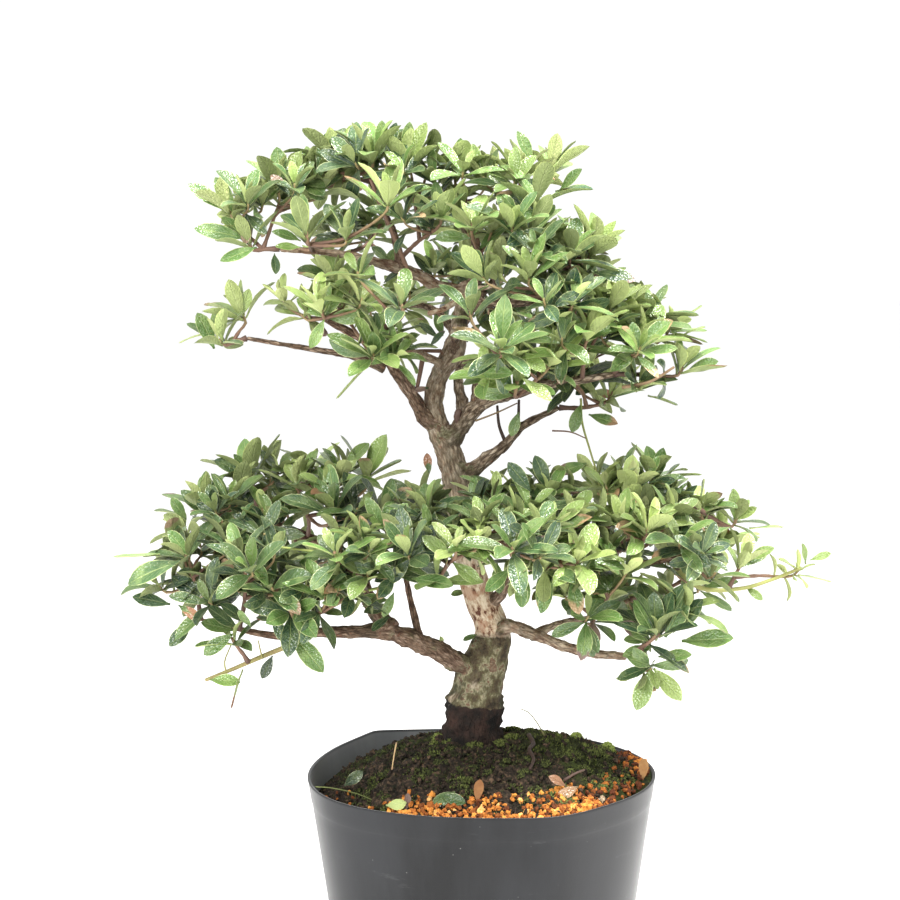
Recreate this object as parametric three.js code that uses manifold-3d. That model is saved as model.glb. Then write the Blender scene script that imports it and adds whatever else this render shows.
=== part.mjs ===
// Satsuki azalea bonsai in a soft plastic nursery pot. Millimetres, +Z up, origin under the pot's middle.
// The wood is one grown piece. Each leafy shoot is a forked twig with whorls of leaves fused to it.

import * as THREE from 'three';
import { mergeVertices } from 'three/addons/utils/BufferGeometryUtils.js';
import Module from 'manifold-3d';

const wasm = await Module();
wasm.setup();

// ---------------------------------------------------------------- driving dimensions
const GAP = 0.3; // clear space between neighbouring pieces

const POT_HEIGHT = 150;
const POT_RIM_RADIUS = 87.4;
const POT_FOOT_RADIUS = 66.5;
const POT_WALL = 1.2;
const POT_FLOOR = 1.6;
const POT_RIM_BEAD = 0.5; // how far the thickened rim stands out of the wall
const POT_RIM_BEAD_HEIGHT = 2.6;
const POT_BAND_DROP = 12; // the shallow step lies this far below the rim
const POT_BAND_STEP = 0.3;
const POT_SIDES = 36;
// Where the soft wall is pushed out of round: direction in degrees, push at the rim, spread in degrees.
const POT_DENTS = [
  { at: 124, push: 14, spread: 12 },
  { at: -140, push: 5, spread: 20 },
  { at: -68, push: 4, spread: 10 },
];
const DRAIN_HOLES = 6;
const DRAIN_HOLE_RADIUS = 5;
const DRAIN_RING_RADIUS = 42;

const SOIL_PEAK = 167; // at the trunk
const SOIL_RINGS = [0.0, 0.26, 0.44, 0.62, 0.78, 0.9, 1.0]; // shares of the pot's inner radius
// Height of the soil at the wall, by direction in degrees.
const SOIL_EDGE = [
  { at: -180, z: 136 },
  { at: -130, z: 141 },
  { at: -90, z: 145 },
  { at: -40, z: 147 },
  { at: 0, z: 149 },
  { at: 50, z: 147 },
  { at: 110, z: 140 },
  { at: 180, z: 136 },
];
const SOIL_HUMPS = [
  { x: 44, y: -6, rise: 4, spread: 25 },
  { x: -30, y: -36, rise: 4, spread: 18 },
];
const ROOT_DEPTH = 16; // the trunk's root end goes this far into the soil
const SOIL_ROUNDNESS = 0.9; // below 1 the mound is fuller than a cosine

// The moss and the grit lie between these rings and directions of the soil's grid.
const MOSS_RINGS = [1, 2, 3, 4];
const MOSS_SPAN = [-4, 15];
const MOSS_CUSHION = { least: 1.2, rise: 2.2 };
const GRIT_RINGS = [4, 5];
const GRIT_SPAN = [-15, 2];
const GRIT_BED = 1.2;
const GRIT_PEBBLES = 24;
const GRIT_PEBBLE_RADIUS = { least: 1.5, draw: 0.9 };

const LEAF_LENGTH = 23;
const LEAF_HALF_WIDTH = 4.6;
const LEAF_THICKNESS = 1.1;
const LEAF_FOLD = 0.34; // rise of the margin over the midrib, per unit of half-width
const LEAF_DROOP = 0.16; // fall of the tip, per unit of length
const LEAF_OUTLINE = [[0.24, 0.56], [0.54, 1], [0.82, 0.68]]; // share of the length, share of the half-width
const LEAF_RIB_AT = 0.5;
const LEAF_CLEARANCE = 0.32;
const LEAVES_ON_FIRST_WHORL = 5;
const LEAVES_ON_SIDE_WHORL = 3;

const TWIG_RADIUS = 1.0;
const TWIG_FOOT_RADIUS = 1.2;
const BUD_RADIUS = 1.25;
const BUD_HEIGHT = 1.3;
const TWIG_SIDES = 4;
const SHORTEST_TWIG = 13;
const FORK_HEIGHT = 2.2; // of the band that forking twigs leave from
const FORK_SHARES = [0.42, 0.28, 0.56]; // where the band may lie, as shares of the main twig
const FORK_LEADS = [0.3, 0.2, 0.4, 0.55]; // how far a forking twig may run straight out, shares of its reach
const TWIG_SWINGS = [0, 5, -5, 9, -9]; // how far the middle of a twig may swing sideways
const SEATS_TRIED = 16;
const SEAT_LIFT = { most: 2.5, step: 0.15 }; // a twig's foot is lifted off the bark by steps

const WHORL_SPREAD = { away: 0.8, up: 0.75 }; // what a whorl's axis leans to: away from the heart, and up
// How far leaves lean off the twig, in degrees: the lowest, each next one less, the one at the twig's end.
const LEAF_LEAN = { first: 76, step: 7, draw: 12, end: 12 };
const LEAF_NUDGES = [0, 10, -10, 20, -20, 32, -32]; // degrees sideways, tried in turn until a leaf is clear
const LEAF_TILTS = [0, -14, 12, -26];
const WHORL_ORDER = { 3: [0, 2, 4], 5: [0, 2, 1, 3, 4] }; // the bud's sides, 4 being its end
const SISTER_GAP = 0.05; // between leaves and forks of one shoot

// ---------------------------------------------------------------- the wood, x, y, z and radius
const TRUNK = [
  [-5, 0, 168 - ROOT_DEPTH, 16.5],
  [-5, 0, 168, 15.4],
  [-4, 0, 176, 13.9],
  [-3, 0, 188, 13.6],
  [-1, 1, 198, 12],
  [3, 2, 209, 9.8],
  [5, 3, 219, 9.1],
  [3, 3, 228, 8.2],
  [-2, 1, 240, 7.4],
  [-6, -1, 254, 7.2],
  [-9, -2, 273, 7.4],
  [-12, 0, 293, 7.5],
  [-17, 2, 312, 6.2],
  [-22, 3, 323, 5.9],
  [-25, 4, 337, 4.7],
  [-22, 4, 350, 4.3],
  [-15, 4, 363, 5.8],
  [-12, 4, 373, 4.3],
  [-10, 3, 387, 3.3],
  [-4, 2, 401, 2.6],
  [-5, 2, 415, 2.0],
  [-13, -2, 430, 1.6],
  [-17, -14, 437, 1.2],
];
const TRUNK_SIDES = 10;
const BARK_RELIEF = 0.05; // share of the trunk's radius

// Each bough: its course and its radius at both ends. The first point lies inside what it grows from.
const BOUGHS = {
  low_left: {
    radii: [5.4, 4.4],
    course: [[-1, 0, 202], [-12, -5, 206], [-22, -10, 213], [-35, -16, 220], [-47, -22, 226]],
  },
  low_left_long: {
    radii: [3.8, 1.5],
    course: [
      [-45, -21, 226], [-65, -28, 227], [-81, -34, 229], [-99, -40, 225], [-118, -45, 230],
      [-136, -48, 235],
    ],
  },
  low_left_under: {
    radii: [1.4, 1.0],
    course: [[-93, -37, 226], [-113, -44, 216], [-132, -46, 208]],
  },
  low_left_rise: {
    radii: [4.0, 1.6],
    course: [
      [-46, -22, 226], [-56, -14, 238], [-62, -6, 251], [-75, 2, 262], [-92, 6, 270],
      [-112, 8, 276], [-132, 8, 277],
    ],
  },
  low_left_upright: {
    radii: [1.8, 1.1],
    course: [[-31, -14, 218], [-37, -12, 243], [-39, -10, 253], [-43, -14, 266]],
  },
  low_left_near: {
    radii: [2.2, 1.2],
    course: [[-62, -6, 251], [-65, -30, 260], [-69, -54, 262]],
  },
  low_left_far: {
    radii: [2.4, 1.3],
    course: [[-57, -13, 239], [-68, 20, 250], [-85, 48, 259]],
  },
  low_right: {
    radii: [3.6, 1.8],
    course: [[4, 1, 219], [13, -5, 224], [25, -12, 221], [39, -20, 217], [52, -28, 215], [69, -36, 215]],
  },
  low_right_rise: {
    radii: [2.1, 1.2],
    course: [[24, -11, 221], [37, -2, 225], [47, 10, 225], [63, 22, 226], [77, 32, 232]],
  },
  mid_right: {
    radii: [2.8, 1.3],
    course: [
      [1, 1, 235], [8, -4, 240], [12, -10, 248], [17, -16, 257], [33, -24, 256],
      [53, -28, 256], [76, -30, 260], [103, -30, 265],
    ],
  },
  mid_right_far: {
    radii: [1.4, 1.0],
    course: [[90, -30, 262], [106, -27, 248], [127, -23, 247], [143, -19, 251]],
  },
  mid_right_rise: {
    radii: [2.1, 1.2],
    course: [[32, -23, 256], [45, -20, 268], [63, -14, 277], [83, -8, 284], [104, -4, 287]],
  },
  mid_near: {
    radii: [3.0, 1.5],
    course: [[-8, -2, 266], [-11, -25, 271], [-16, -46, 270], [-23, -64, 269]],
  },
  mid_near_right: {
    radii: [2.1, 1.3],
    course: [[-11, -24, 271], [2, -48, 276], [14, -70, 275]],
  },
  mid_far: {
    radii: [3.2, 1.6],
    course: [[-8, 0, 268], [-2, 30, 272], [9, 60, 273], [27, 84, 272]],
  },
  mid_far_left: {
    radii: [2.2, 1.3],
    course: [[-2, 29, 272], [-22, 60, 274], [-42, 80, 275]],
  },
  mid_far_right: {
    radii: [2.2, 1.3],
    course: [[7, 56, 273], [38, 62, 268], [70, 66, 266]],
  },
  upper_right_low: {
    radii: [3.6, 1.3],
    course: [
      [-8, 1, 302], [-2, 0, 308], [2, -2, 312], [8, -3, 316], [13, -4, 320],
      [17, -4, 325], [22, -4, 328], [29, -6, 331], [37, -8, 335],
    ],
  },
  upper_right_drop: {
    radii: [2.0, 1.2],
    course: [[-10, 1, 285], [5, 6, 286], [24, 12, 287], [48, 20, 290], [70, 22, 293]],
  },
  upper_right: {
    radii: [4.7, 1.5],
    course: [
      [-18, 3, 318], [-14, 0, 322], [-10, -4, 327], [-4, -10, 335], [6, -18, 341],
      [16, -26, 344], [29, -32, 348], [45, -34, 350], [62, -34, 353],
    ],
  },
  upper_right_far: {
    radii: [3.0, 1.2],
    course: [
      [-9, -5, 330], [-10, 0, 336], [-12, 6, 344], [-12, 14, 351], [-8, 24, 357],
      [10, 32, 355], [26, 40, 358],
    ],
  },
  upper_right_rise: {
    radii: [3.0, 1.4],
    course: [[-3, -12, 335], [-3, -6, 341], [-3, 0, 347], [-2, 8, 354], [2, 14, 362]],
  },
  upper_left: {
    radii: [3.9, 1.7],
    course: [
      [-22, 3, 322], [-30, 0, 328], [-38, -6, 342], [-45, -10, 352], [-52, -14, 363],
      [-66, -16, 373], [-78, -20, 380],
    ],
  },
  upper_left_long: {
    radii: [2.0, 1.1],
    course: [[-49, -11, 355], [-63, -16, 359], [-80, -20, 362], [-99, -22, 364], [-116, -24, 366]],
  },
  upper_left_near: {
    radii: [2.0, 1.2],
    course: [[-20, 4, 356], [-31, -14, 362], [-41, -30, 366], [-47, -44, 376]],
  },
  top_left: {
    radii: [3.4, 1.3],
    course: [
      [-8, 3, 393], [-14, -4, 392], [-22, -8, 395], [-33, -14, 401], [-41, -18, 404],
      [-61, -24, 409], [-80, -26, 412], [-98, -28, 413],
    ],
  },
  top_left_rise: {
    radii: [2.2, 1.2],
    course: [[-40, -18, 404], [-44, -16, 421], [-49, -16, 432], [-55, -14, 446]],
  },
  top_left_far: {
    radii: [2.2, 1.3],
    course: [[-32, -13, 401], [-49, 15, 405], [-68, 38, 411], [-82, 52, 414]],
  },
  top_right: {
    radii: [2.4, 1.2],
    course: [[-6, 2, 395], [4, -4, 406], [16, -10, 418], [24, -12, 430]],
  },
  top_right_low: {
    radii: [2.6, 1.3],
    course: [[-10, 3, 386], [6, -14, 387], [24, -28, 388], [40, -34, 394], [54, -32, 400]],
  },
  top_far: {
    radii: [3.0, 1.4],
    course: [[-12, 4, 374], [-5, 32, 385], [3, 56, 394], [14, 72, 406]],
  },
  top_far_right: {
    radii: [2.0, 1.3],
    course: [[-5, 31, 385], [20, 50, 389], [46, 58, 391]],
  },
  top_far_left: {
    radii: [2.4, 1.3],
    course: [[-13, 5, 372], [-27, 34, 384], [-46, 62, 386]],
  },
  top_near: {
    radii: [2.4, 1.3],
    course: [[-15, 3, 363], [-13, -22, 371], [-8, -46, 372], [2, -64, 368]],
  },
  dead_stub_left: {
    radii: [1.5, 1.1],
    course: [[-11, 4, 380], [-18, -8, 386], [-27, -12, 384]],
  },
};

// ---------------------------------------------------------------- leafy shoots: where their whorls are
const SHOOTS = {
  low_left: [
    [[-143, -50, 268], [-157, -44, 252], [-131, -56, 246]],
    [[-121, -52, 228]],
    [[-136, -20, 288], [-122, -36, 276]],
    [[-117, 0, 300], [-87, 14, 302]],
    [[-115, -64, 268], [-101, -64, 254]],
    [[-92, -60, 242], [-76, -68, 252]],
    [[-93, -14, 298], [-73, -34, 287], [-58, 6, 300]],
    [[-70, -78, 273], [-55, -72, 262]],
    [[-47, -52, 280], [-39, -60, 263]],
    [[-154, 30, 270], [-134, 42, 276]],
    [[-113, 62, 281], [-94, 60, 246]],
    [[-62, 84, 264], [-45, 86, 269]],
  ],
  low_near: [
    [[-28, -62, 289], [-36, -84, 274]],
    [[-14, -92, 278], [-23, -80, 261]],
    [[12, -96, 278], [-2, -74, 287]],
    [[6, -30, 293], [22, -54, 290], [31, -34, 296]],
  ],
  low_right: [
    [[43, -70, 268], [28, -66, 264], [42, -52, 286]],
    [[58, -30, 241], [68, -52, 260]],
    [[79, -44, 280], [71, -16, 294], [92, -30, 284]],
    [[83, -50, 231], [81, -42, 211], [97, -46, 241]],
    [[101, -42, 273], [112, -38, 257]],
    [[127, -24, 260], [157, -16, 256]],
    [[128, 2, 279], [108, 18, 283], [87, 10, 300]],
  ],
  low_far: [
    [[-14, 98, 266], [-34, 72, 290]],
    [[23, 112, 256], [44, 98, 272]],
    [[76, 78, 253], [98, 60, 269], [80, 52, 228]],
    [[127, 42, 262], [114, 30, 243]],
  ],
  top_left: [
    [[-113, -30, 419], [-122, -20, 430], [-102, -12, 443]],
    [[-85, -42, 421], [-66, -46, 420], [-46, -46, 436]],
    [[-73, -2, 458], [-54, -22, 458], [-85, 2, 448]],
    [[-128, -26, 370], [-118, -20, 382]],
    [[-78, -48, 386], [-97, -34, 390]],
    [[-72, -26, 397], [-53, -50, 364]],
    [[-39, -62, 387], [-60, -50, 402]],
  ],
  top_near: [
    [[-21, -38, 430], [-36, -18, 455]],
    [[-6, -48, 425], [-14, -12, 450]],
    [[18, -14, 449], [34, 4, 454]],
    [[25, -34, 436], [13, -48, 424]],
    [[41, -46, 411], [52, -30, 413]],
    [[41, -62, 389], [20, -66, 401]],
    [[7, -82, 368], [-7, -72, 384]],
    [[15, -64, 351], [31, -60, 360]],
  ],
  top_right: [
    [[49, -52, 373], [61, -42, 386]],
    [[74, -44, 370], [91, -22, 375]],
    [[96, -30, 357], [75, -34, 348]],
    [[64, -6, 343], [46, -20, 354]],
  ],
  top_far: [
    [[-93, 58, 421], [-73, 76, 424], [-79, 40, 404]],
    [[-53, 62, 435], [-15, 60, 400]],
    [[6, 58, 424], [34, 72, 418]],
    [[58, 64, 398], [80, 42, 382], [52, 56, 362]],
    [[-6, 98, 387], [19, 92, 375]],
    [[-41, 86, 388], [-70, 62, 381]],
  ],
};

// Leaves that lie on the soil: where, which way the tip points, in degrees round and up, and their size.
const FALLEN_LEAVES = {
  fallen_leaf_green: { x: -38, y: -66, turn: 20, rise: 4, length: 12, halfWidth: 3.4, finish: 'young_leaf' },
  fallen_leaf_tan: { x: -3, y: -60, turn: 150, rise: 12, length: 12, halfWidth: 3.2, finish: 'dead_leaf' },
  fallen_leaf_dead: { x: 70, y: -12, turn: 15, rise: 52, length: 13, halfWidth: 3, finish: 'dead_leaf' },
};
const TIER_HEARTS = { low: [-5, 0, 240], top: [-15, 0, 370] }; // whorls face away from their tier's heart

const GRIT_SEED = 71;
const SHOOT_SEED = 2024;

const FINISHES = {
  pot: { color: 0x47494c, roughness: 0.55 },
  soil: { color: 0x33271e, roughness: 0.95 },
  moss: { color: 0x4c6a1c, roughness: 0.95 },
  grit: { color: 0xb9763b, roughness: 0.9 },
  bark: { color: 0x7c6a58, roughness: 0.85 },
  leaf: { color: 0x3f6a3a, roughness: 0.45 },
  young_leaf: { color: 0x86ac3e, roughness: 0.5 },
  dead_leaf: { color: 0x9a6a45, roughness: 0.8 },
};

// ---------------------------------------------------------------- solids
const DEG = Math.PI / 180;

function solidOf(geometry) {
  const bare = geometry.clone();
  bare.deleteAttribute('normal');
  bare.deleteAttribute('uv');
  const merged = mergeVertices(bare, 1e-5);
  const mesh = new wasm.Mesh({
    numProp: 3,
    vertProperties: new Float32Array(merged.attributes.position.array),
    triVerts: new Uint32Array(merged.index.array),
  });
  return new wasm.Manifold(mesh);
}

function geometryOf(solid) {
  const { vertProperties, triVerts, numProp } = solid.getMesh();
  const geometry = new THREE.BufferGeometry();
  const positions = new Float32Array((vertProperties.length / numProp) * 3);
  for (let i = 0; i < positions.length / 3; i += 1) {
    for (let k = 0; k < 3; k += 1) positions[i * 3 + k] = vertProperties[i * numProp + k];
  }
  geometry.setAttribute('position', new THREE.BufferAttribute(positions, 3));
  geometry.setIndex(new THREE.BufferAttribute(new Uint32Array(triVerts), 1));
  return geometry;
}

function indexedGeometry(points, faces) {
  const geometry = new THREE.BufferGeometry();
  geometry.setAttribute('position', new THREE.Float32BufferAttribute(points.flat(), 3));
  geometry.setIndex(faces.flat());
  return geometry;
}

const joined = (solids) => wasm.Manifold.union(solids);

// Rings of equal point count, joined side by side and closed by fans at both ends.
function stackedRings(rings) {
  const count = rings[0].length;
  const faces = [];
  for (let r = 0; r < rings.length - 1; r += 1) {
    for (let i = 0; i < count; i += 1) {
      const a = r * count + i;
      const b = r * count + ((i + 1) % count);
      faces.push([a, b, b + count], [a, b + count, a + count]);
    }
  }
  const last = (rings.length - 1) * count;
  for (let i = 1; i < count - 1; i += 1) {
    faces.push([0, i + 1, i], [last, last + i, last + i + 1]);
  }
  return solidOf(indexedGeometry(rings.flat(), faces));
}

// Rings of points square to a curve, carried along it without turning. stations are shares of its length.
function ringsAlong(curve, stations, radiusAt, sides, roll = 0) {
  let normal = null;
  return stations.map((t) => {
    const along = curve.getTangentAt(t);
    const upright = Math.abs(along.z) > 0.9;
    const lead = normal ?? new THREE.Vector3(0, upright ? 1 : 0, upright ? 0 : 1);
    normal = lead.clone().addScaledVector(along, -lead.dot(along)).normalize();
    const side = along.clone().cross(normal);
    const centre = curve.getPointAt(t);
    return Array.from({ length: sides }, (_, i) => {
      const turn = roll + (2 * Math.PI * i) / sides;
      const arm = normal.clone().multiplyScalar(Math.cos(turn)).addScaledVector(side, Math.sin(turn));
      return centre.clone().addScaledVector(arm, radiusAt(t, turn)).toArray();
    });
  });
}

const curveThrough = (course) => new THREE.CatmullRomCurve3(course.map((p) => new THREE.Vector3(...p)));

// A tapering limb along a smooth curve, cut into equal lengths.
function limb(course, radiusAt, sides, steps) {
  const stations = Array.from({ length: steps + 1 }, (_, s) => s / steps);
  return stackedRings(ringsAlong(curveThrough(course), stations, radiusAt, sides));
}

// ---------------------------------------------------------------- pot
function bump(x, at, spread) {
  return Math.exp(-((x - at) ** 2) / (2 * spread ** 2));
}

function turnBetween(a, b) {
  return ((((a - b) % 360) + 540) % 360) - 180;
}

// Radius of the wall's outside at a height, in a direction in degrees. The dents fade towards the foot.
function wallRadius(z, degrees) {
  const share = z / POT_HEIGHT;
  const round = POT_FOOT_RADIUS + (POT_RIM_RADIUS - POT_FOOT_RADIUS) * share;
  const push = POT_DENTS.reduce((sum, d) => sum + d.push * bump(turnBetween(degrees, d.at), 0, d.spread), 0);
  return round + push * share ** 2;
}

function potRing(z, inset) {
  return Array.from({ length: POT_SIDES }, (_, i) => {
    const degrees = (360 * i) / POT_SIDES;
    const reach = wallRadius(z, degrees) - inset;
    return [reach * Math.cos(degrees * DEG), reach * Math.sin(degrees * DEG), z];
  });
}

function potSolid() {
  const bandZ = POT_HEIGHT - POT_BAND_DROP;
  const beadZ = POT_HEIGHT - POT_RIM_BEAD_HEIGHT;
  const outside = stackedRings([
    potRing(0, 1.2),
    potRing(1.5, 0),
    potRing(bandZ, 0),
    potRing(bandZ + 1, -POT_BAND_STEP),
    potRing(beadZ, -POT_BAND_STEP),
    potRing(beadZ + 0.6, -POT_BAND_STEP - POT_RIM_BEAD),
    potRing(POT_HEIGHT, -POT_BAND_STEP - POT_RIM_BEAD),
  ]);
  const inside = stackedRings([
    potRing(POT_FLOOR, POT_WALL),
    potRing(bandZ, POT_WALL),
    potRing(POT_HEIGHT + 5, POT_WALL),
  ]);
  const holes = Array.from({ length: DRAIN_HOLES }, (_, i) => {
    const turn = (2 * Math.PI * i) / DRAIN_HOLES;
    const drill = new THREE.CylinderGeometry(DRAIN_HOLE_RADIUS, DRAIN_HOLE_RADIUS, 4 * POT_FLOOR, 8);
    drill.rotateX(Math.PI / 2);
    drill.translate(DRAIN_RING_RADIUS * Math.cos(turn), DRAIN_RING_RADIUS * Math.sin(turn), 0);
    return solidOf(drill);
  });
  return outside.subtract(inside).subtract(joined(holes));
}

// ---------------------------------------------------------------- soil, moss and grit
function soilEdge(degrees) {
  const turn = turnBetween(degrees, 0);
  const next = Math.max(1, SOIL_EDGE.findIndex((e) => e.at >= turn));
  const [a, b] = [SOIL_EDGE[next - 1], SOIL_EDGE[next]];
  return a.z + ((b.z - a.z) * (turn - a.at)) / (b.at - a.at);
}

function soilHeight(x, y, share, degrees) {
  const edge = soilEdge(degrees);
  const mound = edge + (SOIL_PEAK - edge) * Math.cos((share * Math.PI) / 2) ** SOIL_ROUNDNESS;
  const humps = SOIL_HUMPS.reduce(
    (sum, h) => sum + h.rise * Math.exp(-((x - h.x) ** 2 + (y - h.y) ** 2) / (2 * h.spread ** 2)),
    0,
  );
  return mound + humps * (1 - share ** 4);
}

// The point of the soil's surface on ring r in direction i of the shared polar grid, raised by lift.
function soilPoint(r, i, lift = 0) {
  const degrees = (360 * i) / POT_SIDES;
  const share = SOIL_RINGS[r];
  const reach = share * (wallRadius(soilEdge(degrees), degrees) - POT_WALL - GAP);
  const [x, y] = [reach * Math.cos(degrees * DEG), reach * Math.sin(degrees * DEG)];
  return [x, y, soilHeight(x, y, share, degrees) + lift];
}

function soilSolid() {
  const rings = [potRing(POT_FLOOR + GAP, POT_WALL + GAP)];
  for (let r = SOIL_RINGS.length - 1; r > 0; r -= 1) {
    rings.push(Array.from({ length: POT_SIDES }, (_, i) => soilPoint(r, i)));
  }
  return stackedRings(rings).subtract(trunkSolid(GAP));
}

// A closed patch that lies on the soil's grid between two rings and two directions.
function soilPatch(rings, [from, to], topLift) {
  const points = [];
  const faces = [];
  const columns = to - from + 1;
  const rows = rings.length;
  for (const layer of [0, 1]) {
    for (let r = 0; r < rows; r += 1) {
      for (let i = from; i <= to; i += 1) {
        points.push(soilPoint(rings[r], i, GAP + layer * topLift(rings[r], i)));
      }
    }
  }
  const at = (layer, r, c) => layer * rows * columns + r * columns + c;
  for (let r = 0; r < rows - 1; r += 1) {
    for (let c = 0; c < columns - 1; c += 1) {
      faces.push([at(1, r, c), at(1, r + 1, c), at(1, r, c + 1)]);
      faces.push([at(1, r, c + 1), at(1, r + 1, c), at(1, r + 1, c + 1)]);
      faces.push([at(0, r, c), at(0, r, c + 1), at(0, r + 1, c)]);
      faces.push([at(0, r, c + 1), at(0, r + 1, c + 1), at(0, r + 1, c)]);
    }
  }
  const wall = (a, b) => {
    faces.push([at(0, ...a), at(0, ...b), at(1, ...b)]);
    faces.push([at(0, ...a), at(1, ...b), at(1, ...a)]);
  };
  for (let c = 0; c < columns - 1; c += 1) {
    wall([0, c + 1], [0, c]);
    wall([rows - 1, c], [rows - 1, c + 1]);
  }
  for (let r = 0; r < rows - 1; r += 1) {
    wall([r, 0], [r + 1, 0]);
    wall([r + 1, columns - 1], [r, columns - 1]);
  }
  return solidOf(indexedGeometry(points, faces));
}

function mossSolid() {
  const cushion = (r, i) => MOSS_CUSHION.least + MOSS_CUSHION.rise * Math.sin(i * 2.1 + r * 2.6) ** 2;
  return soilPatch(MOSS_RINGS, MOSS_SPAN, cushion).subtract(trunkSolid(GAP));
}

// A thin bed with pebbles sunk in it, scattered evenly along the bed and by draw across it.
function gritSolid(random) {
  const [from, to] = GRIT_SPAN;
  const [inner, outer] = GRIT_RINGS;
  const bed = soilPatch(GRIT_RINGS, GRIT_SPAN, () => GRIT_BED);
  const pebbles = Array.from({ length: GRIT_PEBBLES }, (_, n) => {
    const place = from + 0.3 + ((to - from - 0.6) * (n + 0.5)) / GRIT_PEBBLES;
    const low = Math.floor(place);
    const onRing = (ring) => {
      const next = new THREE.Vector3(...soilPoint(ring, low + 1));
      return new THREE.Vector3(...soilPoint(ring, low)).lerp(next, place - low);
    };
    const spot = onRing(inner).lerp(onRing(outer), 0.15 + 0.7 * random());
    const stone = new THREE.OctahedronGeometry(GRIT_PEBBLE_RADIUS.least + GRIT_PEBBLE_RADIUS.draw * random());
    stone.rotateX(6 * random());
    stone.rotateZ(6 * random());
    return solidOf(stone).translate([spot.x, spot.y, spot.z + GAP + GRIT_BED + 0.5 * random()]);
  });
  return joined([bed, ...pebbles]).subtract(soil.translate([0, 0, 0.9 * GAP]));
}

// ---------------------------------------------------------------- wood
// The trunk, made larger all over by clear. Its rings lie at its own points, so that its thick and thin
// places stay where they are.
function trunkSolid(clear) {
  const curve = new THREE.CatmullRomCurve3(TRUNK.map(([x, y, z]) => new THREE.Vector3(x, y, z)));
  const last = TRUNK.length - 1;
  const rings = TRUNK.map(([x, y, z, radius], k) => {
    const t = k / last;
    const along = curve.getTangent(t);
    const side = new THREE.Vector3(0, 1, 0).cross(along).normalize();
    const back = along.clone().cross(side);
    const centre = new THREE.Vector3(x, y, z);
    if (k === 0) centre.addScaledVector(along, -clear);
    if (k === last) centre.addScaledVector(along, clear);
    return Array.from({ length: TRUNK_SIDES }, (_, i) => {
      const turn = (2 * Math.PI * i) / TRUNK_SIDES;
      const reach = radius * (1 + BARK_RELIEF * Math.sin(3 * turn + 9 * t)) + clear;
      const spoke = side.clone().multiplyScalar(Math.cos(turn)).addScaledVector(back, Math.sin(turn));
      return centre.clone().addScaledVector(spoke, reach).toArray();
    });
  });
  return stackedRings(rings);
}

function boughSolid({ radii, course }) {
  const sides = radii[0] > 2.5 ? 6 : 5;
  const taper = (t) => radii[0] + (radii[1] - radii[0]) * t;
  return limb(course, taper, sides, course.length - 1);
}

// ---------------------------------------------------------------- leaves and shoots
// A repeatable draw between 0 and 1.
function seeded(seed) {
  let state = seed;
  return () => {
    state = (state * 16807) % 2147483647;
    return state / 2147483647;
  };
}

// Adds a blade to a mesh: an elliptic leaf, folded along its midrib, arched and pointed. corners are the root's
// four points in the mesh: right and left of the under side, left and right of the upper side.
function addBlade(mesh, corners, { root, ahead, face, size }) {
  const across = ahead.clone().cross(face).normalize();
  const up = across.clone().cross(ahead);
  const at = (x, t, z) =>
    root
      .clone()
      .addScaledVector(across, x)
      .addScaledVector(ahead, t * size.length)
      .addScaledVector(up, z - LEAF_DROOP * size.length * t ** 2)
      .toArray();
  const edge = (t, share, side) => at(side * share * size.halfWidth, t, LEAF_FOLD * share * size.halfWidth);
  const right = LEAF_OUTLINE.map(([t, share]) => edge(t, share, 1));
  const left = LEAF_OUTLINE.map(([t, share]) => edge(t, share, -1)).reverse();
  const rim = addPoints(mesh, [...right, at(0, 1, 0), ...left]);
  const [upper, under] = addPoints(mesh, [at(0, LEAF_RIB_AT, 0), at(0, LEAF_RIB_AT, -LEAF_THICKNESS)]);
  const fan = (loop, hub, flip) =>
    loop.forEach((p, i) => {
      const q = loop[(i + 1) % loop.length];
      mesh.faces.push(flip ? [hub, q, p] : [hub, p, q]);
    });
  fan([corners[3], ...rim, corners[2]], upper, false);
  fan([corners[0], ...rim, corners[1]], under, true);
  mesh.faces.push([corners[0], rim[0], corners[3]], [corners[2], rim[rim.length - 1], corners[1]]);
}

const emptyMesh = () => ({ points: [], faces: [] });

function addPoints(mesh, points) {
  const first = mesh.points.length;
  mesh.points.push(...points);
  return points.map((_, i) => first + i);
}

function addQuad(mesh, [a, b, c, d]) {
  mesh.faces.push([a, b, c], [a, c, d]);
}

const meshSolid = (mesh) => solidOf(indexedGeometry(mesh.points, mesh.faces));

// A blade as a loose solid, for testing what it would touch. Off the twig, its root is drawn to one point, so
// that sister leaves of one bud can be told apart.
function bladeSolid(leaf, offTwig) {
  const mesh = emptyMesh();
  if (offTwig) {
    const [start] = addPoints(mesh, [leaf.root.clone().addScaledVector(leaf.ahead, 1.5).toArray()]);
    addBlade(mesh, [start, start, start, start], leaf);
    mesh.faces = mesh.faces.filter((f) => new Set(f).size === 3);
  } else {
    const corners = addPoints(mesh, leaf.corners);
    addBlade(mesh, corners, leaf);
    addQuad(mesh, [...corners].reverse());
  }
  return meshSolid(mesh);
}

function boxesMeet(a, b, margin) {
  for (let k = 0; k < 3; k += 1) {
    if (a.min[k] - margin > b.max[k] || b.min[k] - margin > a.max[k]) return false;
  }
  return true;
}

function clearOf(solid, others, margin) {
  const box = solid.boundingBox();
  return others.every((o) => !boxesMeet(box, o.box, margin) || solid.minGap(o.solid, margin) >= margin);
}

const kept = (solid) => ({ solid, box: solid.boundingBox() });

// Places along the boughs where a twig can sit, with the bough's thickness there.
function seats() {
  const list = [];
  for (const [name, { course, radii }] of Object.entries(BOUGHS)) {
    const curve = curveThrough(course);
    for (let s = 2; s <= 20; s += 1) {
      const t = s / 20;
      list.push({ name, at: curve.getPointAt(t), radius: radii[0] + (radii[1] - radii[0]) * t });
    }
  }
  return list;
}

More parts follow.
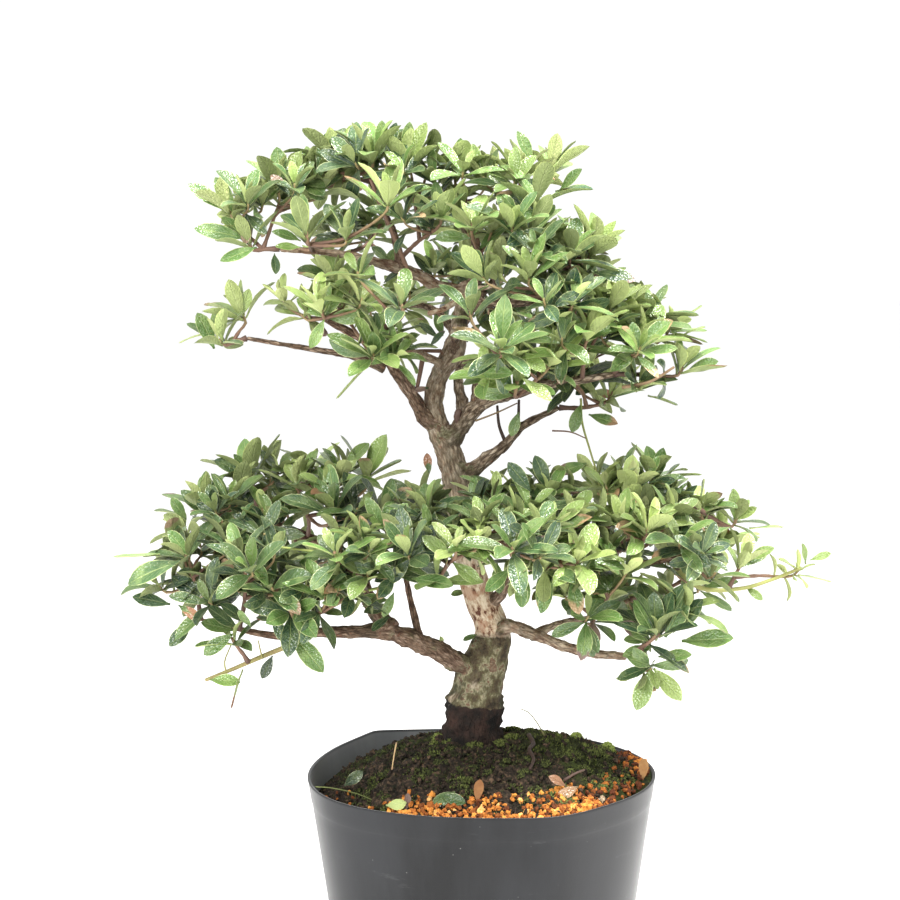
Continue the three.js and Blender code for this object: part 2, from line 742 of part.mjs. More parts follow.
// The way a whorl faces: away from its tier's heart and up, and for a forking twig also away from its fork.
function whorlAxis(centre, heart, from = centre) {
  const away = centre.clone().sub(heart).normalize().multiplyScalar(WHORL_SPREAD.away);
  const lead = centre.clone().sub(from);
  if (lead.length() > 0) away.addScaledVector(lead.normalize(), WHORL_SPREAD.away);
  return away.add(new THREE.Vector3(0, 0, WHORL_SPREAD.up)).normalize();
}

// A twig that leaves its seat, swings up and ends along the whorl's axis.
function twigCourse(seat, centre, axis, swing) {
  const reach = centre.distanceTo(seat);
  const middle = seat.clone().lerp(centre, 0.5);
  middle.addScaledVector(axis, -0.16 * reach).add(swing);
  return [seat, middle, centre.clone().addScaledVector(axis, -5), centre];
}

// The rings of a twig's four-sided stem. The last two are the bud, whose four sides and end bear the leaves.
// Where shares are given, other twigs fork from the band between each and a hair above it.
function twigRings(course, foot, shares, roll) {
  const curve = new THREE.CatmullRomCurve3(course);
  const length = curve.getLength();
  const stations = [...shares, 1 - BUD_HEIGHT / length, 1];
  const reachAt = (t) => (t > stations.at(-2) - 0.001 ? BUD_RADIUS : foot + (TWIG_RADIUS - foot) * t);
  return ringsAlong(curve, stations, reachAt, TWIG_SIDES, roll);
}

// The corners of side 0 to 3 of a band, counted round from outside. Side 4 is the twig's end.
function faceOf(low, high, side) {
  const next = (side + 1) % TWIG_SIDES;
  return side < TWIG_SIDES ? [low[side], low[next], high[next], high[side]] : high;
}

function centreOf(points) {
  const total = points.reduce((sum, p) => sum.add(new THREE.Vector3(...p)), new THREE.Vector3());
  return total.divideScalar(points.length);
}

// How a leaf stands on its root: leaning out from the twig by lean degrees, swung sideways by nudge degrees.
function stance(bud, side, axis, lean, nudge) {
  const corners = faceOf(...bud, side);
  const root = centreOf(corners);
  const isSide = side < TWIG_SIDES;
  const plain = isSide ? root.clone().sub(centreOf(bud.flat())) : centreOf(corners.slice(0, 2)).sub(root);
  plain.addScaledVector(axis, -plain.dot(axis)).normalize().applyAxisAngle(axis, nudge * DEG);
  const [c, s] = [Math.cos(lean * DEG), Math.sin(lean * DEG)];
  const ahead = axis.clone().multiplyScalar(c).addScaledVector(plain, s);
  const face = axis.clone().multiplyScalar(s).addScaledVector(plain, -c);
  return { corners, root, ahead, face };
}

// One shoot as a single closed mesh: the main twig, the twigs that fork from its fork band, and their leaves.
// Each forking twig and each blade takes the place of one four-cornered face of what bears it.
function shootMesh(twigs, leaves) {
  const mesh = emptyMesh();
  const forkSides = twigs.slice(1).map((twig) => twig.side);
  let forkBand = null;
  twigs.forEach((twig, k) => {
    const borne = leaves[k];
    let low = k === 0 ? addPoints(mesh, twig.rings[0]) : faceOf(...forkBand, twig.side);
    if (k === 0) addQuad(mesh, [...low].reverse());
    twig.rings.slice(1).forEach((ring, r) => {
      const high = addPoints(mesh, ring);
      const isBud = r === twig.rings.length - 2;
      const isFork = k === 0 && r === 1;
      if (isFork) forkBand = [low, high];
      for (let side = 0; side < TWIG_SIDES; side += 1) {
        const taken = isBud ? borne.some((l) => l.at === side) : isFork && forkSides.includes(side);
        if (!taken) addQuad(mesh, faceOf(low, high, side));
      }
      if (isBud) {
        if (!borne.some((l) => l.at === TWIG_SIDES)) addQuad(mesh, high);
        borne.forEach((leaf) => addBlade(mesh, faceOf(low, high, leaf.at), leaf));
      }
      low = high;
    });
  });
  return meshSolid(mesh);
}

// True where each ring lies wholly ahead of the one before it and isn't twisted against it, so that no band
// folds through itself.
function runsOpen(rings) {
  const planes = rings.map((ring) => {
    const [a, b, c, d] = ring.map((p) => new THREE.Vector3(...p));
    return { centre: centreOf(ring), ahead: c.clone().sub(a).cross(d.clone().sub(b)).normalize() };
  });
  const armOf = (p, plane) => new THREE.Vector3(...p).sub(plane.centre);
  return rings.slice(1).every((ring, k) => {
    const [before, own] = [planes[k], planes[k + 1]];
    return ring.every((p, i) => {
      const q = rings[k][i];
      const straight = armOf(p, own).normalize().dot(armOf(q, before).normalize()) > 0.3;
      return straight && armOf(p, before).dot(before.ahead) > 0.1 && armOf(q, own).dot(own.ahead) < -0.1;
    });
  });
}

// A forking twig as a loose solid that starts a little off the face that bears it.
function offItsFork(rings) {
  const next = rings[1].map((p) => new THREE.Vector3(...p));
  const start = rings[0].map((p, i) => new THREE.Vector3(...p).lerp(next[i], 0.2).toArray());
  return stackedRings([start, ...rings.slice(1)]);
}

// A twig that forks from one side of the main twig's fork band: the free side that looks nearest to its aim.
function forkingTwig(twigs, aim, axis) {
  const band = twigs[0].rings.slice(1, 3);
  const taken = twigs.slice(1).map((twig) => twig.side);
  const forks = twigs.slice(1).map((twig) => offItsFork(twig.rings));
  const sisters = [stackedRings(twigs[0].rings), ...forks].map(kept);
  const middle = centreOf(band.flat());
  const wish = aim.clone().sub(middle).normalize();
  const lookOf = (side) => centreOf(faceOf(...band, side)).sub(middle).normalize();
  const free = [0, 1, 2, 3].filter((side) => !taken.includes(side));
  const turnOf = (ring) => new THREE.Vector3(...ring[0]).sub(centreOf(ring));
  for (const side of free.sort((a, b) => lookOf(b).dot(wish) - lookOf(a).dot(wish))) {
    const corners = faceOf(...band, side);
    const start = centreOf(corners);
    const reach = aim.distanceTo(start);
    for (const lead of FORK_LEADS) {
      const shoulder = start.clone().addScaledVector(lookOf(side), lead * reach).lerp(aim, 0.2);
      const neck = aim.clone().addScaledVector(axis, -0.3 * reach).lerp(start, 0.1);
      const course = [start, shoulder, neck, aim];
      const shares = reach > 20 ? [0, 0.45] : [0];
      const along = new THREE.CatmullRomCurve3(course).getTangentAt(0);
      if (along.dot(lookOf(side)) < 0.5) continue;
      const plain = twigRings(course, TWIG_RADIUS, shares, 0);
      const [from, to] = [plain[0], corners].map((ring) => {
        const arm = turnOf(ring);
        return arm.addScaledVector(along, -arm.dot(along));
      });
      const roll = Math.atan2(from.clone().cross(to).dot(along), from.dot(to));
      const rings = [corners, ...twigRings(course, TWIG_RADIUS, shares, roll).slice(1)];
      if (runsOpen(rings) && clearOf(offItsFork(rings), sisters, SISTER_GAP)) return { rings, side };
    }
  }
  return null;
}

// Every way that a shoot's main twig may run: from the nearest seats, with a little swing, with its fork low
// or high, its foot lifted off the bark until the twig clears the wood.
function* mainTwigs(aim, axis, places, roll) {
  const wish = aim.clone().addScaledVector(axis, -16);
  const near = places
    .filter((seat) => seat.at.distanceTo(aim) > SHORTEST_TWIG)
    .sort((a, b) => a.at.distanceTo(wish) - b.at.distanceTo(wish))
    .slice(0, SEATS_TRIED);
  const sideways = new THREE.Vector3(-axis.y, axis.x, 0).normalize();
  for (const seat of near) {
    const lead = aim.clone().sub(seat.at).normalize();
    for (const swing of TWIG_SWINGS) {
      for (const share of FORK_SHARES) {
        for (let off = 0.8 * seat.radius; off < seat.radius + SEAT_LIFT.most; off += SEAT_LIFT.step) {
          const foot = seat.at.clone().addScaledVector(lead, off);
          const course = twigCourse(foot, aim, axis, sideways.clone().multiplyScalar(swing));
          const shares = [0, share, share + FORK_HEIGHT / foot.distanceTo(aim)];
          const rings = twigRings(course, TWIG_FOOT_RADIUS, shares, roll);
          if (runsOpen(rings) && stackedRings(rings).minGap(wood, GAP) >= GAP) {
            yield rings;
            break;
          }
        }
      }
    }
  }
}

// The twigs of one shoot: the first whorl's twig sits on a bough, the others fork off it. The first way that
// touches neither the wood nor another shoot is taken.
function shootTwigs(centres, heart, places, others, random) {
  const aims = centres.map((c) => new THREE.Vector3(...c));
  const axes = aims.map((aim, k) => whorlAxis(aim, heart, k === 0 ? aim : aims[0].clone().lerp(heart, 0.15)));
  for (const rings of mainTwigs(aims[0], axes[0], places, 90 * DEG * random())) {
    const twigs = [{ rings }];
    for (let k = 1; k < aims.length && !twigs.includes(null); k += 1) {
      twigs.push(forkingTwig(twigs, aims[k], axes[k]));
    }
    if (twigs.includes(null)) continue;
    const stem = shootMesh(twigs, twigs.map(() => []));
    if (stem.minGap(wood, GAP) >= GAP && clearOf(stem, others, LEAF_CLEARANCE)) return { stem, twigs, axes };
  }
  throw new Error(`no free way for a shoot at ${centres[0]}`);
}

// The leaves of one whorl, lowest first. Each is turned a little until it touches nothing, or left out.
function whorlLeaves(bud, axis, count, random, isClear) {
  const leaves = [];
  WHORL_ORDER[count].forEach((side, n) => {
    const size = {
      length: LEAF_LENGTH * (1 - 0.05 * n) * (0.86 + 0.3 * random()),
      halfWidth: LEAF_HALF_WIDTH * (0.88 + 0.26 * random()),
    };
    const { first, step, draw, end } = LEAF_LEAN;
    const lean = side < TWIG_SIDES ? first - step * n - draw * random() : end;
    const swing = 20 * (random() - 0.5);
    LEAF_NUDGES.some((nudge) =>
      LEAF_TILTS.some((tilt) => {
        const leaf = { at: side, size, ...stance(bud, side, axis, lean + tilt, swing + nudge) };
        const [blade, loose] = [bladeSolid(leaf, false), bladeSolid(leaf, true)];
        if (!isClear(blade, loose, leaves.map((l) => l.loose))) return false;
        leaves.push({ ...leaf, ...kept(blade), loose: kept(loose) });
        return true;
      }),
    );
  });
  return leaves;
}

// A leaf that lies on the soil, let down until it all but touches what is under it.
function fallenLeaf({ x, y, turn, rise, length, halfWidth }, ground) {
  const [c, s] = [Math.cos(turn * DEG), Math.sin(turn * DEG)];
  const ahead = new THREE.Vector3(c, s, Math.tan(rise * DEG)).normalize();
  const across = new THREE.Vector3(ahead.y, -ahead.x, 0).normalize();
  const face = across.clone().cross(ahead);
  const root = new THREE.Vector3(x, y, SOIL_PEAK + 10);
  const blade = bladeSolid({ root, ahead, face, size: { length, halfWidth } }, true);
  let drop = 0;
  while (clearOf(blade.translate([0, 0, -drop - 0.1]), ground, GAP)) drop += 0.1;
  return blade.translate([0, 0, -drop]);
}

// ---------------------------------------------------------------- build
const group = new THREE.Group();

function addPart(name, solid, finish) {
  const material = new THREE.MeshStandardMaterial({ ...FINISHES[finish], metalness: 0 });
  const mesh = new THREE.Mesh(geometryOf(solid), material);
  mesh.name = name;
  group.add(mesh);
}

const wood = joined([trunkSolid(0), ...Object.values(BOUGHS).map(boughSolid)]);
const soil = soilSolid();
const pot = potSolid();
const moss = mossSolid();
const grit = gritSolid(seeded(GRIT_SEED));
addPart('pot', pot, 'pot');
addPart('soil', soil, 'soil');
addPart('wood', wood, 'bark');
addPart('moss', moss, 'moss');
addPart('grit', grit, 'grit');

const standing = [wood, moss, grit, soil].map(kept);
for (const [name, leaf] of Object.entries(FALLEN_LEAVES)) {
  addPart(name, fallenLeaf(leaf, [...standing, kept(pot)]), leaf.finish);
}

// All stems come before the first leaf, so that leaves make way for stems.
const random = seeded(SHOOT_SEED);
const places = seats();
const shoots = [];
for (const [spread, list] of Object.entries(SHOOTS)) {
  const heart = new THREE.Vector3(...TIER_HEARTS[spread.slice(0, 3)]);
  list.forEach((centres, n) => {
    const { stem, twigs, axes } = shootTwigs(centres, heart, places, shoots.map((s) => s.stem), random);
    shoots.push({ name: `shoot_${spread}_${n + 1}`, twigs, axes, stem: kept(stem), leaves: [] });
  });
}
for (const shoot of shoots) {
  const others = shoots.filter((s) => s !== shoot);
  const fixed = [...standing, ...others.map((s) => s.stem)];
  const isClear = (blade, loose, sisters) =>
    clearOf(blade, fixed, LEAF_CLEARANCE) &&
    others.every((s) => clearOf(blade, s.leaves, LEAF_CLEARANCE)) &&
    clearOf(blade, shoot.leaves, SISTER_GAP) &&
    clearOf(loose, [shoot.stem, ...sisters], SISTER_GAP);
  const whorls = shoot.twigs.map((twig, k) => {
    const count = k === 0 ? LEAVES_ON_FIRST_WHORL : LEAVES_ON_SIDE_WHORL;
    const leaves = whorlLeaves(twig.rings.slice(-2), shoot.axes[k], count, random, isClear);
    shoot.leaves.push(...leaves);
    return leaves;
  });
  addPart(shoot.name, shootMesh(shoot.twigs, whorls), 'leaf');
}

export default group;
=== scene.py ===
"""Dresses a satsuki azalea bonsai that stands in its soft plastic nursery pot.

Sizes are millimetres in the shared frame of the solids, and become metres when a mesh is made. +Z is up, the
front of the tree looks along -Y, and the origin lies under the middle of the pot.
"""

import logging
import math
from dataclasses import dataclass, field
from enum import Enum
from typing import Callable, Iterable, Iterator, Sequence

import bpy
import numpy as np
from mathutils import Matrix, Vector, noise


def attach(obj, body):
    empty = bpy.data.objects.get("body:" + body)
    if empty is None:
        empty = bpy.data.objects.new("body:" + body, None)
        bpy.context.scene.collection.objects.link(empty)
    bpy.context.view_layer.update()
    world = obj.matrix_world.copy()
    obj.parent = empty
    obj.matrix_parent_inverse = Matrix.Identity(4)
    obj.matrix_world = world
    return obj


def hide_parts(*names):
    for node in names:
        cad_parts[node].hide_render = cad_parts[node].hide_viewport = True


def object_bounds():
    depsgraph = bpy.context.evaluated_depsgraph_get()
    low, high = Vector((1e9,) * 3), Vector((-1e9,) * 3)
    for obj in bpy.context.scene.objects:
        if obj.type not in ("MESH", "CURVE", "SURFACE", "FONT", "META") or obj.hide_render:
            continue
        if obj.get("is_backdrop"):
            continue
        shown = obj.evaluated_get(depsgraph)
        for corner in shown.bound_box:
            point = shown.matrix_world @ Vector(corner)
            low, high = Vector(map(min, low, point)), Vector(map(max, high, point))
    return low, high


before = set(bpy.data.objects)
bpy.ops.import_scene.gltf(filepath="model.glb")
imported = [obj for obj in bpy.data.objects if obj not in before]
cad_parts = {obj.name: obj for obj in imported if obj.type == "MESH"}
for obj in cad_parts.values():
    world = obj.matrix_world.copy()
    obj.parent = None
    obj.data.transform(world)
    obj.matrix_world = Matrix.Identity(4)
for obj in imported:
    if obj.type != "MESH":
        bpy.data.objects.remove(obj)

MM = 0.001
GOLDEN_TURN = math.radians(137.5)
UP = np.array([0.0, 0.0, 1.0])

Array = np.ndarray
Point = tuple[float, float, float]
Colour = tuple[float, float, float]
Shares = tuple[float, float, float, float]
Stops = tuple[tuple[float, Colour], ...]
Faces = list[tuple[int, ...]]
Socket = bpy.types.NodeSocket
Material = bpy.types.Material
Piece = bpy.types.Object

log = logging.getLogger("azalea")


# ---- small tools
def vec(x: float, y: float, z: float) -> Array:
    """Gives a point or a direction as an array."""
    return np.array([x, y, z], dtype=float)


def unit(v: Array) -> Array:
    """Gives the direction of a vector, at length 1."""
    return v / (np.linalg.norm(v) + 1e-12)


def turned(v: Array, axis: Array, angle: float) -> Array:
    """Turns a vector about an axis of length 1, by an angle in radians."""
    c, s = math.cos(angle), math.sin(angle)
    return v * c + np.cross(axis, v) * s + axis * np.dot(axis, v) * (1 - c)


def square_to(axis: Array, wish: Array) -> Array:
    """Gives the direction nearest to a wish that is square to an axis of length 1."""
    flat = wish - axis * np.dot(wish, axis)
    return unit(flat if np.linalg.norm(flat) >= 1e-6 else np.cross(axis, vec(0.3, 0.9, 0.2)))


def leaned(axis: Array, arm: Array, lean: float) -> tuple[Array, Array]:
    """Gives where a leaf points and where it looks, when it leans off an axis by an angle in radians."""
    c, s = math.cos(lean), math.sin(lean)
    return axis * c + arm * s, axis * s - arm * c


def around(reach: float, direction: float, z: float) -> Array:
    """Gives the point at a reach and a direction in degrees about the pot's middle."""
    return vec(reach * math.cos(math.radians(direction)), reach * math.sin(math.radians(direction)), z)


def share_of(x: float) -> float:
    """Keeps a number between 0 and 1."""
    return float(np.clip(x, 0, 1))


def smooth_step(low: float, high: float, x: float) -> float:
    """Rises smoothly from 0 at low to 1 at high."""
    t = min(1.0, max(0.0, (x - low) / (high - low)))
    return t * t * (3 - 2 * t)


def rough(point: Array, scale: float, octaves: int = 3) -> float:
    """Gives a fractal ripple between about -1 and 1 at a point, at so many ripples a millimetre."""
    return noise.fractal(Vector([float(x) * scale for x in point]), 0.9, 2.1, octaves)


def band(sides: int, rows: int, first: int = 0) -> Faces:
    """Gives the faces between rings of points that follow each other, from the point of that number on."""
    corners = [(first + r * sides, k, (k + 1) % sides) for r in range(rows) for k in range(sides)]
    return [(a + k, a + n, a + n + sides, a + k + sides) for a, k, n in corners]


def placed(name: str, data: bpy.types.ID) -> Piece:
    """Puts a mesh, a light or a camera into the scene.

    Args:
        name: The object's name.
        data: The mesh, light or camera.

    Returns:
        The object.
    """
    piece = bpy.data.objects.new(name, data)
    bpy.context.scene.collection.objects.link(piece)
    return piece


class Course:
    """A smooth line through points, without loops at sharp bends."""

    def __init__(self, points: Sequence[Point], samples: int = 24) -> None:
        """Lays the line.

        Args:
            points: What the line passes through, in millimetres.
            samples: How many short steps each stretch is cut into.
        """
        self.points = [vec(*p) for p in points]
        self.line = self._sampled(samples)
        steps = np.linalg.norm(np.diff(self.line, axis=0), axis=1)
        self.reached = np.concatenate([[0.0], np.cumsum(steps)])
        self.length = float(self.reached[-1])

    def _sampled(self, samples: int) -> Array:
        """Samples the centripetal curve through the points.

        Args:
            samples: Steps a stretch.

        Returns:
            The places, one a row.
        """
        pts = self.points
        pts = [2 * pts[0] - pts[1], *pts, 2 * pts[-1] - pts[-2]]
        rows = []
        for k in range(1, len(pts) - 2):
            p0, p1, p2, p3 = pts[k - 1 : k + 3]
            d0, d1, d2 = (max(np.linalg.norm(b - a) ** 0.5, 1e-4) for a, b in ((p0, p1), (p1, p2), (p2, p3)))
            m1 = ((p1 - p0) / d0 - (p2 - p0) / (d0 + d1) + (p2 - p1) / d1) * d1
            m2 = ((p2 - p1) / d1 - (p3 - p1) / (d1 + d2) + (p3 - p2) / d2) * d1
            for t in (s / samples for s in range(samples)):
                row = (2 * t**3 - 3 * t**2 + 1) * p1 + (t**3 - 2 * t**2 + t) * m1
                rows.append(row + (3 * t**2 - 2 * t**3) * p2 + (t**3 - t**2) * m2)
        return np.array([*rows, pts[-2]])

    def at(self, share: float) -> Array:
        """Gives the point at a share of the line's length."""
        goal = share * self.length
        return np.array([np.interp(goal, self.reached, self.line[:, k]) for k in range(3)])

    def along(self, share: float) -> Array:
        """Gives the line's direction at a share of its length."""
        step = 0.5 / max(self.length, 1.0)
        return unit(self.at(min(1.0, share + step)) - self.at(max(0.0, share - step)))

    def knot_share(self, index: int) -> float:
        """Gives the share of the length at which the line passes its point of that index."""
        samples = (len(self.line) - 1) // (len(self.points) - 1)
        return float(self.reached[index * samples] / self.length)


@dataclass
class Draft:
    """A mesh in the making: blocks of points with their marks, and faces with their finish."""

    points: list[Array] = field(default_factory=list)
    blades: list[Array] = field(default_factory=list)
    tones: list[Array] = field(default_factory=list)
    faces: Faces = field(default_factory=list)
    finishes: list[int] = field(default_factory=list)
    rims: list[Array] = field(default_factory=list)
    count: int = 0

    def add(
        self,
        points: Array,
        faces: Iterable[Sequence[int]],
        finish: Sequence[int] | int = 0,
        tone: Sequence[float] | Array = (0.0, 0.5, 0.0, 0.5),
        blade: Array | None = None,
        rim: Array | None = None,
    ) -> None:
        """Adds points and the faces between them.

        Args:
            points: Places in millimetres, one a row.
            faces: Rows of point numbers, counted from 0 in this block.
            finish: The finish slot of all the faces, or of each.
            tone: Four shares for the whole block or each point, whose meaning each finish gives.
            blade: Places across and along a leaf, one a point.
            rim: True where a point lies on a thin edge.
        """
        n = len(points)
        rows = [tuple(self.count + i for i in face) for face in faces]
        self.points.append(np.asarray(points, dtype=float))
        self.faces.extend(rows)
        self.finishes.extend([finish] * len(rows) if isinstance(finish, int) else finish)
        tones = np.asarray(tone, dtype=float)
        self.tones.append(np.tile(tones, (n, 1)) if tones.ndim == 1 else tones)
        self.blades.append(np.zeros((n, 4)) if blade is None else blade)
        self.rims.append(np.zeros(n, dtype=bool) if rim is None else rim)
        self.count += n

    def piece(self, name: str, materials: Sequence[Material], slot: str) -> Piece:
        """Turns the draft into an object that rides on the plant.

        Args:
            name: The piece's name.
            materials: Its finishes, by finish slot.
            slot: A material slot name; it is not used.

        Returns:
            The new object.
        """
        mesh = bpy.data.meshes.new(name)
        points = np.concatenate(self.points) * MM
        sizes = np.array([len(face) for face in self.faces])
        mesh.vertices.add(len(points))
        mesh.vertices.foreach_set("co", points.ravel())
        mesh.loops.add(int(sizes.sum()))
        corners = np.array([i for face in self.faces for i in face], dtype=np.int32)
        mesh.loops.foreach_set("vertex_index", corners)
        mesh.polygons.add(len(sizes))
        mesh.polygons.foreach_set("loop_start", np.concatenate([[0], np.cumsum(sizes)[:-1]]))
        mesh.polygons.foreach_set("material_index", np.array(self.finishes, dtype=np.int32))
        mesh.polygons.foreach_set("use_smooth", np.ones(len(sizes), dtype=bool))
        mesh.update(calc_edges=True)
        for mark, blocks in (("blade", self.blades), ("tone", self.tones)):
            shares = mesh.attributes.new(mark, "FLOAT_COLOR", "POINT")
            shares.data.foreach_set("color", np.concatenate(blocks).ravel())
        rims = np.concatenate(self.rims)
        if rims.any():
            edges = np.empty(len(mesh.edges) * 2, dtype=np.int32)
            mesh.edges.foreach_get("vertices", edges)
            sharp = rims[edges.reshape(-1, 2)].all(axis=1)
            mesh.attributes.new("sharp_edge", "BOOLEAN", "EDGE").data.foreach_set("value", sharp)
        for material in materials:
            mesh.materials.append(material)
        mesh.validate()
        piece = placed(name, mesh)
        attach(piece, "root")
        log.info("%s: %d faces", name, len(sizes))
        return piece


def tube(
    draft: Draft,
    course: Course,
    radius_at: Callable[[float], float],
    sides: int,
    step: float,
    finish: int,
    tone_at: Callable[[float], Shares],
    swell: Callable[[Array, float, float], float] = lambda place, turn, share: 0.0,
) -> None:
    """Adds a closed round limb along a course.

    Args:
        draft: The mesh that gets the limb.
        course: The limb's middle line.
        radius_at: Gives its radius at a share of its length.
        sides: How many sides it has.
        step: Distance between rings.
        finish: The finish slot.
        tone_at: Gives the four shares at a share of its length.
        swell: Gives how far a point stands out, from its place, its turn in radians and the share.
    """
    count = max(2, int(round(course.length / step)))
    lead = UP if abs(course.along(0)[2]) < 0.9 else vec(0, 1, 0)
    points, tones, straight = [], [], []
    origin = course.at(0.0) * MM
    for share in map(float, np.linspace(0, 1, count + 1)):
        along, middle, radius = course.along(share), course.at(share), radius_at(share)
        lead = square_to(along, lead)
        side = np.cross(along, lead)
        for turn in (2 * math.pi * k / sides for k in range(sides)):
            arm = lead * math.cos(turn) + side * math.sin(turn)
            place = middle + arm * radius
            points.append(place + arm * swell(place, turn, share))
            tones.append(tone_at(share))
            unrolled = vec(radius * math.cos(turn), radius * math.sin(turn), share * course.length)
            straight.append(origin + unrolled * MM)
    last = course.at(1.0)
    points.extend([course.at(0.0), last + course.along(1.0) * radius_at(1.0) * 0.6])
    tones.extend([tone_at(0.0), tone_at(1.0)])
    straight.extend([origin, origin + UP * course.length * MM])
    blade = np.hstack([np.array(straight), np.zeros((len(straight), 1))])
    end = count * sides
    hub, cap = end + sides, end + sides + 1
    faces = band(sides, count)
    for k in range(sides):
        n = (k + 1) % sides
        faces += [(hub, n, k), (cap, end + k, end + n)]
    draft.add(np.array(points), faces, finish, np.array(tones), blade)


# ---------------------------------------------------------------- finishes
class Sheet:
    """A material's nodes, with short ways to add what finishes are made of."""

    light_floor = 0.35
    light_rise = 1.3

    def __init__(self, name: str) -> None:
        """Starts a material with one Principled shader.

        Args:
            name: The material's name.
        """
        self.material = bpy.data.materials.new(name)
        self.material.use_nodes = True
        self.tree = self.material.node_tree
        self.shader = self.tree.nodes["Principled BSDF"]

    def feed(self, socket: Socket, value: object) -> None:
        """Joins a socket to another, or sets its value.

        Args:
            socket: The socket that is fed.
            value: A socket, a number, a colour or a direction.
        """
        if isinstance(value, Socket):
            self.tree.links.new(value, socket)
        elif isinstance(value, tuple) and socket.type == "RGBA":
            socket.default_value = (*value, 1.0)
        else:
            socket.default_value = value

    def set(self, **values: object) -> None:
        """Sets the shader's own sockets; an underscore in a name stands for a space."""
        for name, value in values.items():
            self.feed(self.shader.inputs[name.replace("_", " ")], value)

    def node(self, kind: str, inputs: dict, output: int | str = 0, **settings: object) -> Socket:
        """Adds a node.

        Args:
            kind: What the node does.
            inputs: What each of its sockets is fed.
            output: The result that is wanted.
            settings: Its other settings.

        Returns:
            The result.
        """
        node = self.tree.nodes.new(f"ShaderNode{kind}")
        for name, value in settings.items():
            setattr(node, name, value)
        for key, value in inputs.items():
            self.feed(node.inputs[key], value)
        return node.outputs[output]

    def sums(self, kind: str, a: object, b: object = 0.5, clamp: bool = False) -> Socket:
        """Does a sum of that kind with one or two numbers."""
        return self.node("Math", {0: a, 1: b}, operation=kind, use_clamp=clamp)

    def plus(self, a: object, b: object) -> Socket:
        """Adds two numbers."""
        return self.sums("ADD", a, b)

    def minus(self, a: object, b: object) -> Socket:
        """Takes the second number from the first."""
        return self.sums("SUBTRACT", a, b)

    def times(self, a: object, b: object) -> Socket:
        """Multiplies two numbers."""
        return self.sums("MULTIPLY", a, b)

    def centred(self, grain: Socket, size: float) -> Socket:
        """Turns noise around 0.5 into noise around 0 of that size."""
        return self.times(self.minus(grain, 0.5), size)

    def steps(self, source: object, low: float, high: float, start: float = 0.0, end: float = 1.0) -> Socket:
        """Maps the range from low to high smoothly to the range from start to end."""
        inputs = dict(enumerate((source, low, high, start, end)))
        return self.node("MapRange", inputs, interpolation_type="SMOOTHSTEP")

    def blend(self, share: object, a: object, b: object, kind: str = "MIX") -> Socket:
        """Mixes two colours; share says how much of the second."""
        return self.node("Mix", {0: share, 6: a, 7: b}, 2, data_type="RGBA", blend_type=kind)

    def ramp(self, source: Socket, stops: Stops) -> Socket:
        """Picks a colour between stops.

        Args:
            source: The share that picks the colour.
            stops: Share and colour of each stop.

        Returns:
            The colour.
        """
        picked = self.node("ValToRGB", {0: source})
        elements = picked.node.color_ramp.elements
        while len(elements) < len(stops):
            elements.new(0.5)
        for element, (place, colour) in zip(elements, stops):
            element.position = place
            element.color = (*colour, 1.0)
        return picked

    def place(self) -> Socket:
        """Gives the place on the object, in metres."""
        return self.node("TexCoord", {}, "Object")

    def straight(self, stretch: Point) -> Socket:
        """Gives the place on a limb that is laid straight, stretched across and along it."""
        return self.stretched(self.node("Attribute", {}, "Vector", attribute_name="blade"), stretch)

    def stretched(self, where: Socket, stretch: Point) -> Socket:
        """Stretches a place along each axis."""
        return self.node("Mapping", {"Vector": where, "Scale": stretch})

    def grain(self, scale: float, detail: float = 4, fine: float = 0.55, at: Socket | None = None) -> Socket:
        """Adds fractal noise around 0.5: ripples a metre, how many finer ones and how strong those are."""
        inputs = {"Vector": at or self.place(), "Scale": scale, "Detail": detail, "Roughness": fine}
        return self.node("TexNoise", inputs)

    def cells(self, scale: float, feature: str = "F1", at: Socket | None = None) -> Socket:
        """Adds cell noise and gives the distance to the cells' hearts or edges."""
        inputs = {"Vector": at or self.place(), "Scale": scale}
        return self.node("TexVoronoi", inputs, "Distance", feature=feature)

    def marks(self, name: str) -> tuple[Socket, ...]:
        """Gives the four shares of a mark that the mesh carries."""
        mark = self.node("Attribute", {}, "Color", attribute_name=name)
        return (*self.node("SeparateColor", {0: mark}).node.outputs, mark.node.outputs["Alpha"])

    def lit(self, colour: Socket, shade: Socket) -> Socket:
        """Makes a colour as bright as its mark says."""
        light = self.plus(self.times(shade, self.light_rise), self.light_floor)
        return self.node("HueSaturation", {"Color": colour, "Value": light})

    def relief(self, height: Socket, depth: float, strength: float = 1.0) -> None:
        """Adds fine relief to the shader, with its depth in metres."""
        bump = self.node("Bump", {"Strength": strength, "Distance": depth, "Height": height})
        self.set(Normal=bump, Coat_Normal=bump)


SCORCH: Stops = ((0.0, (0.26, 0.12, 0.06)), (0.55, (0.40, 0.28, 0.15)), (1.0, (0.17, 0.11, 0.10)))
FLECK: Colour = (0.42, 0.48, 0.36)


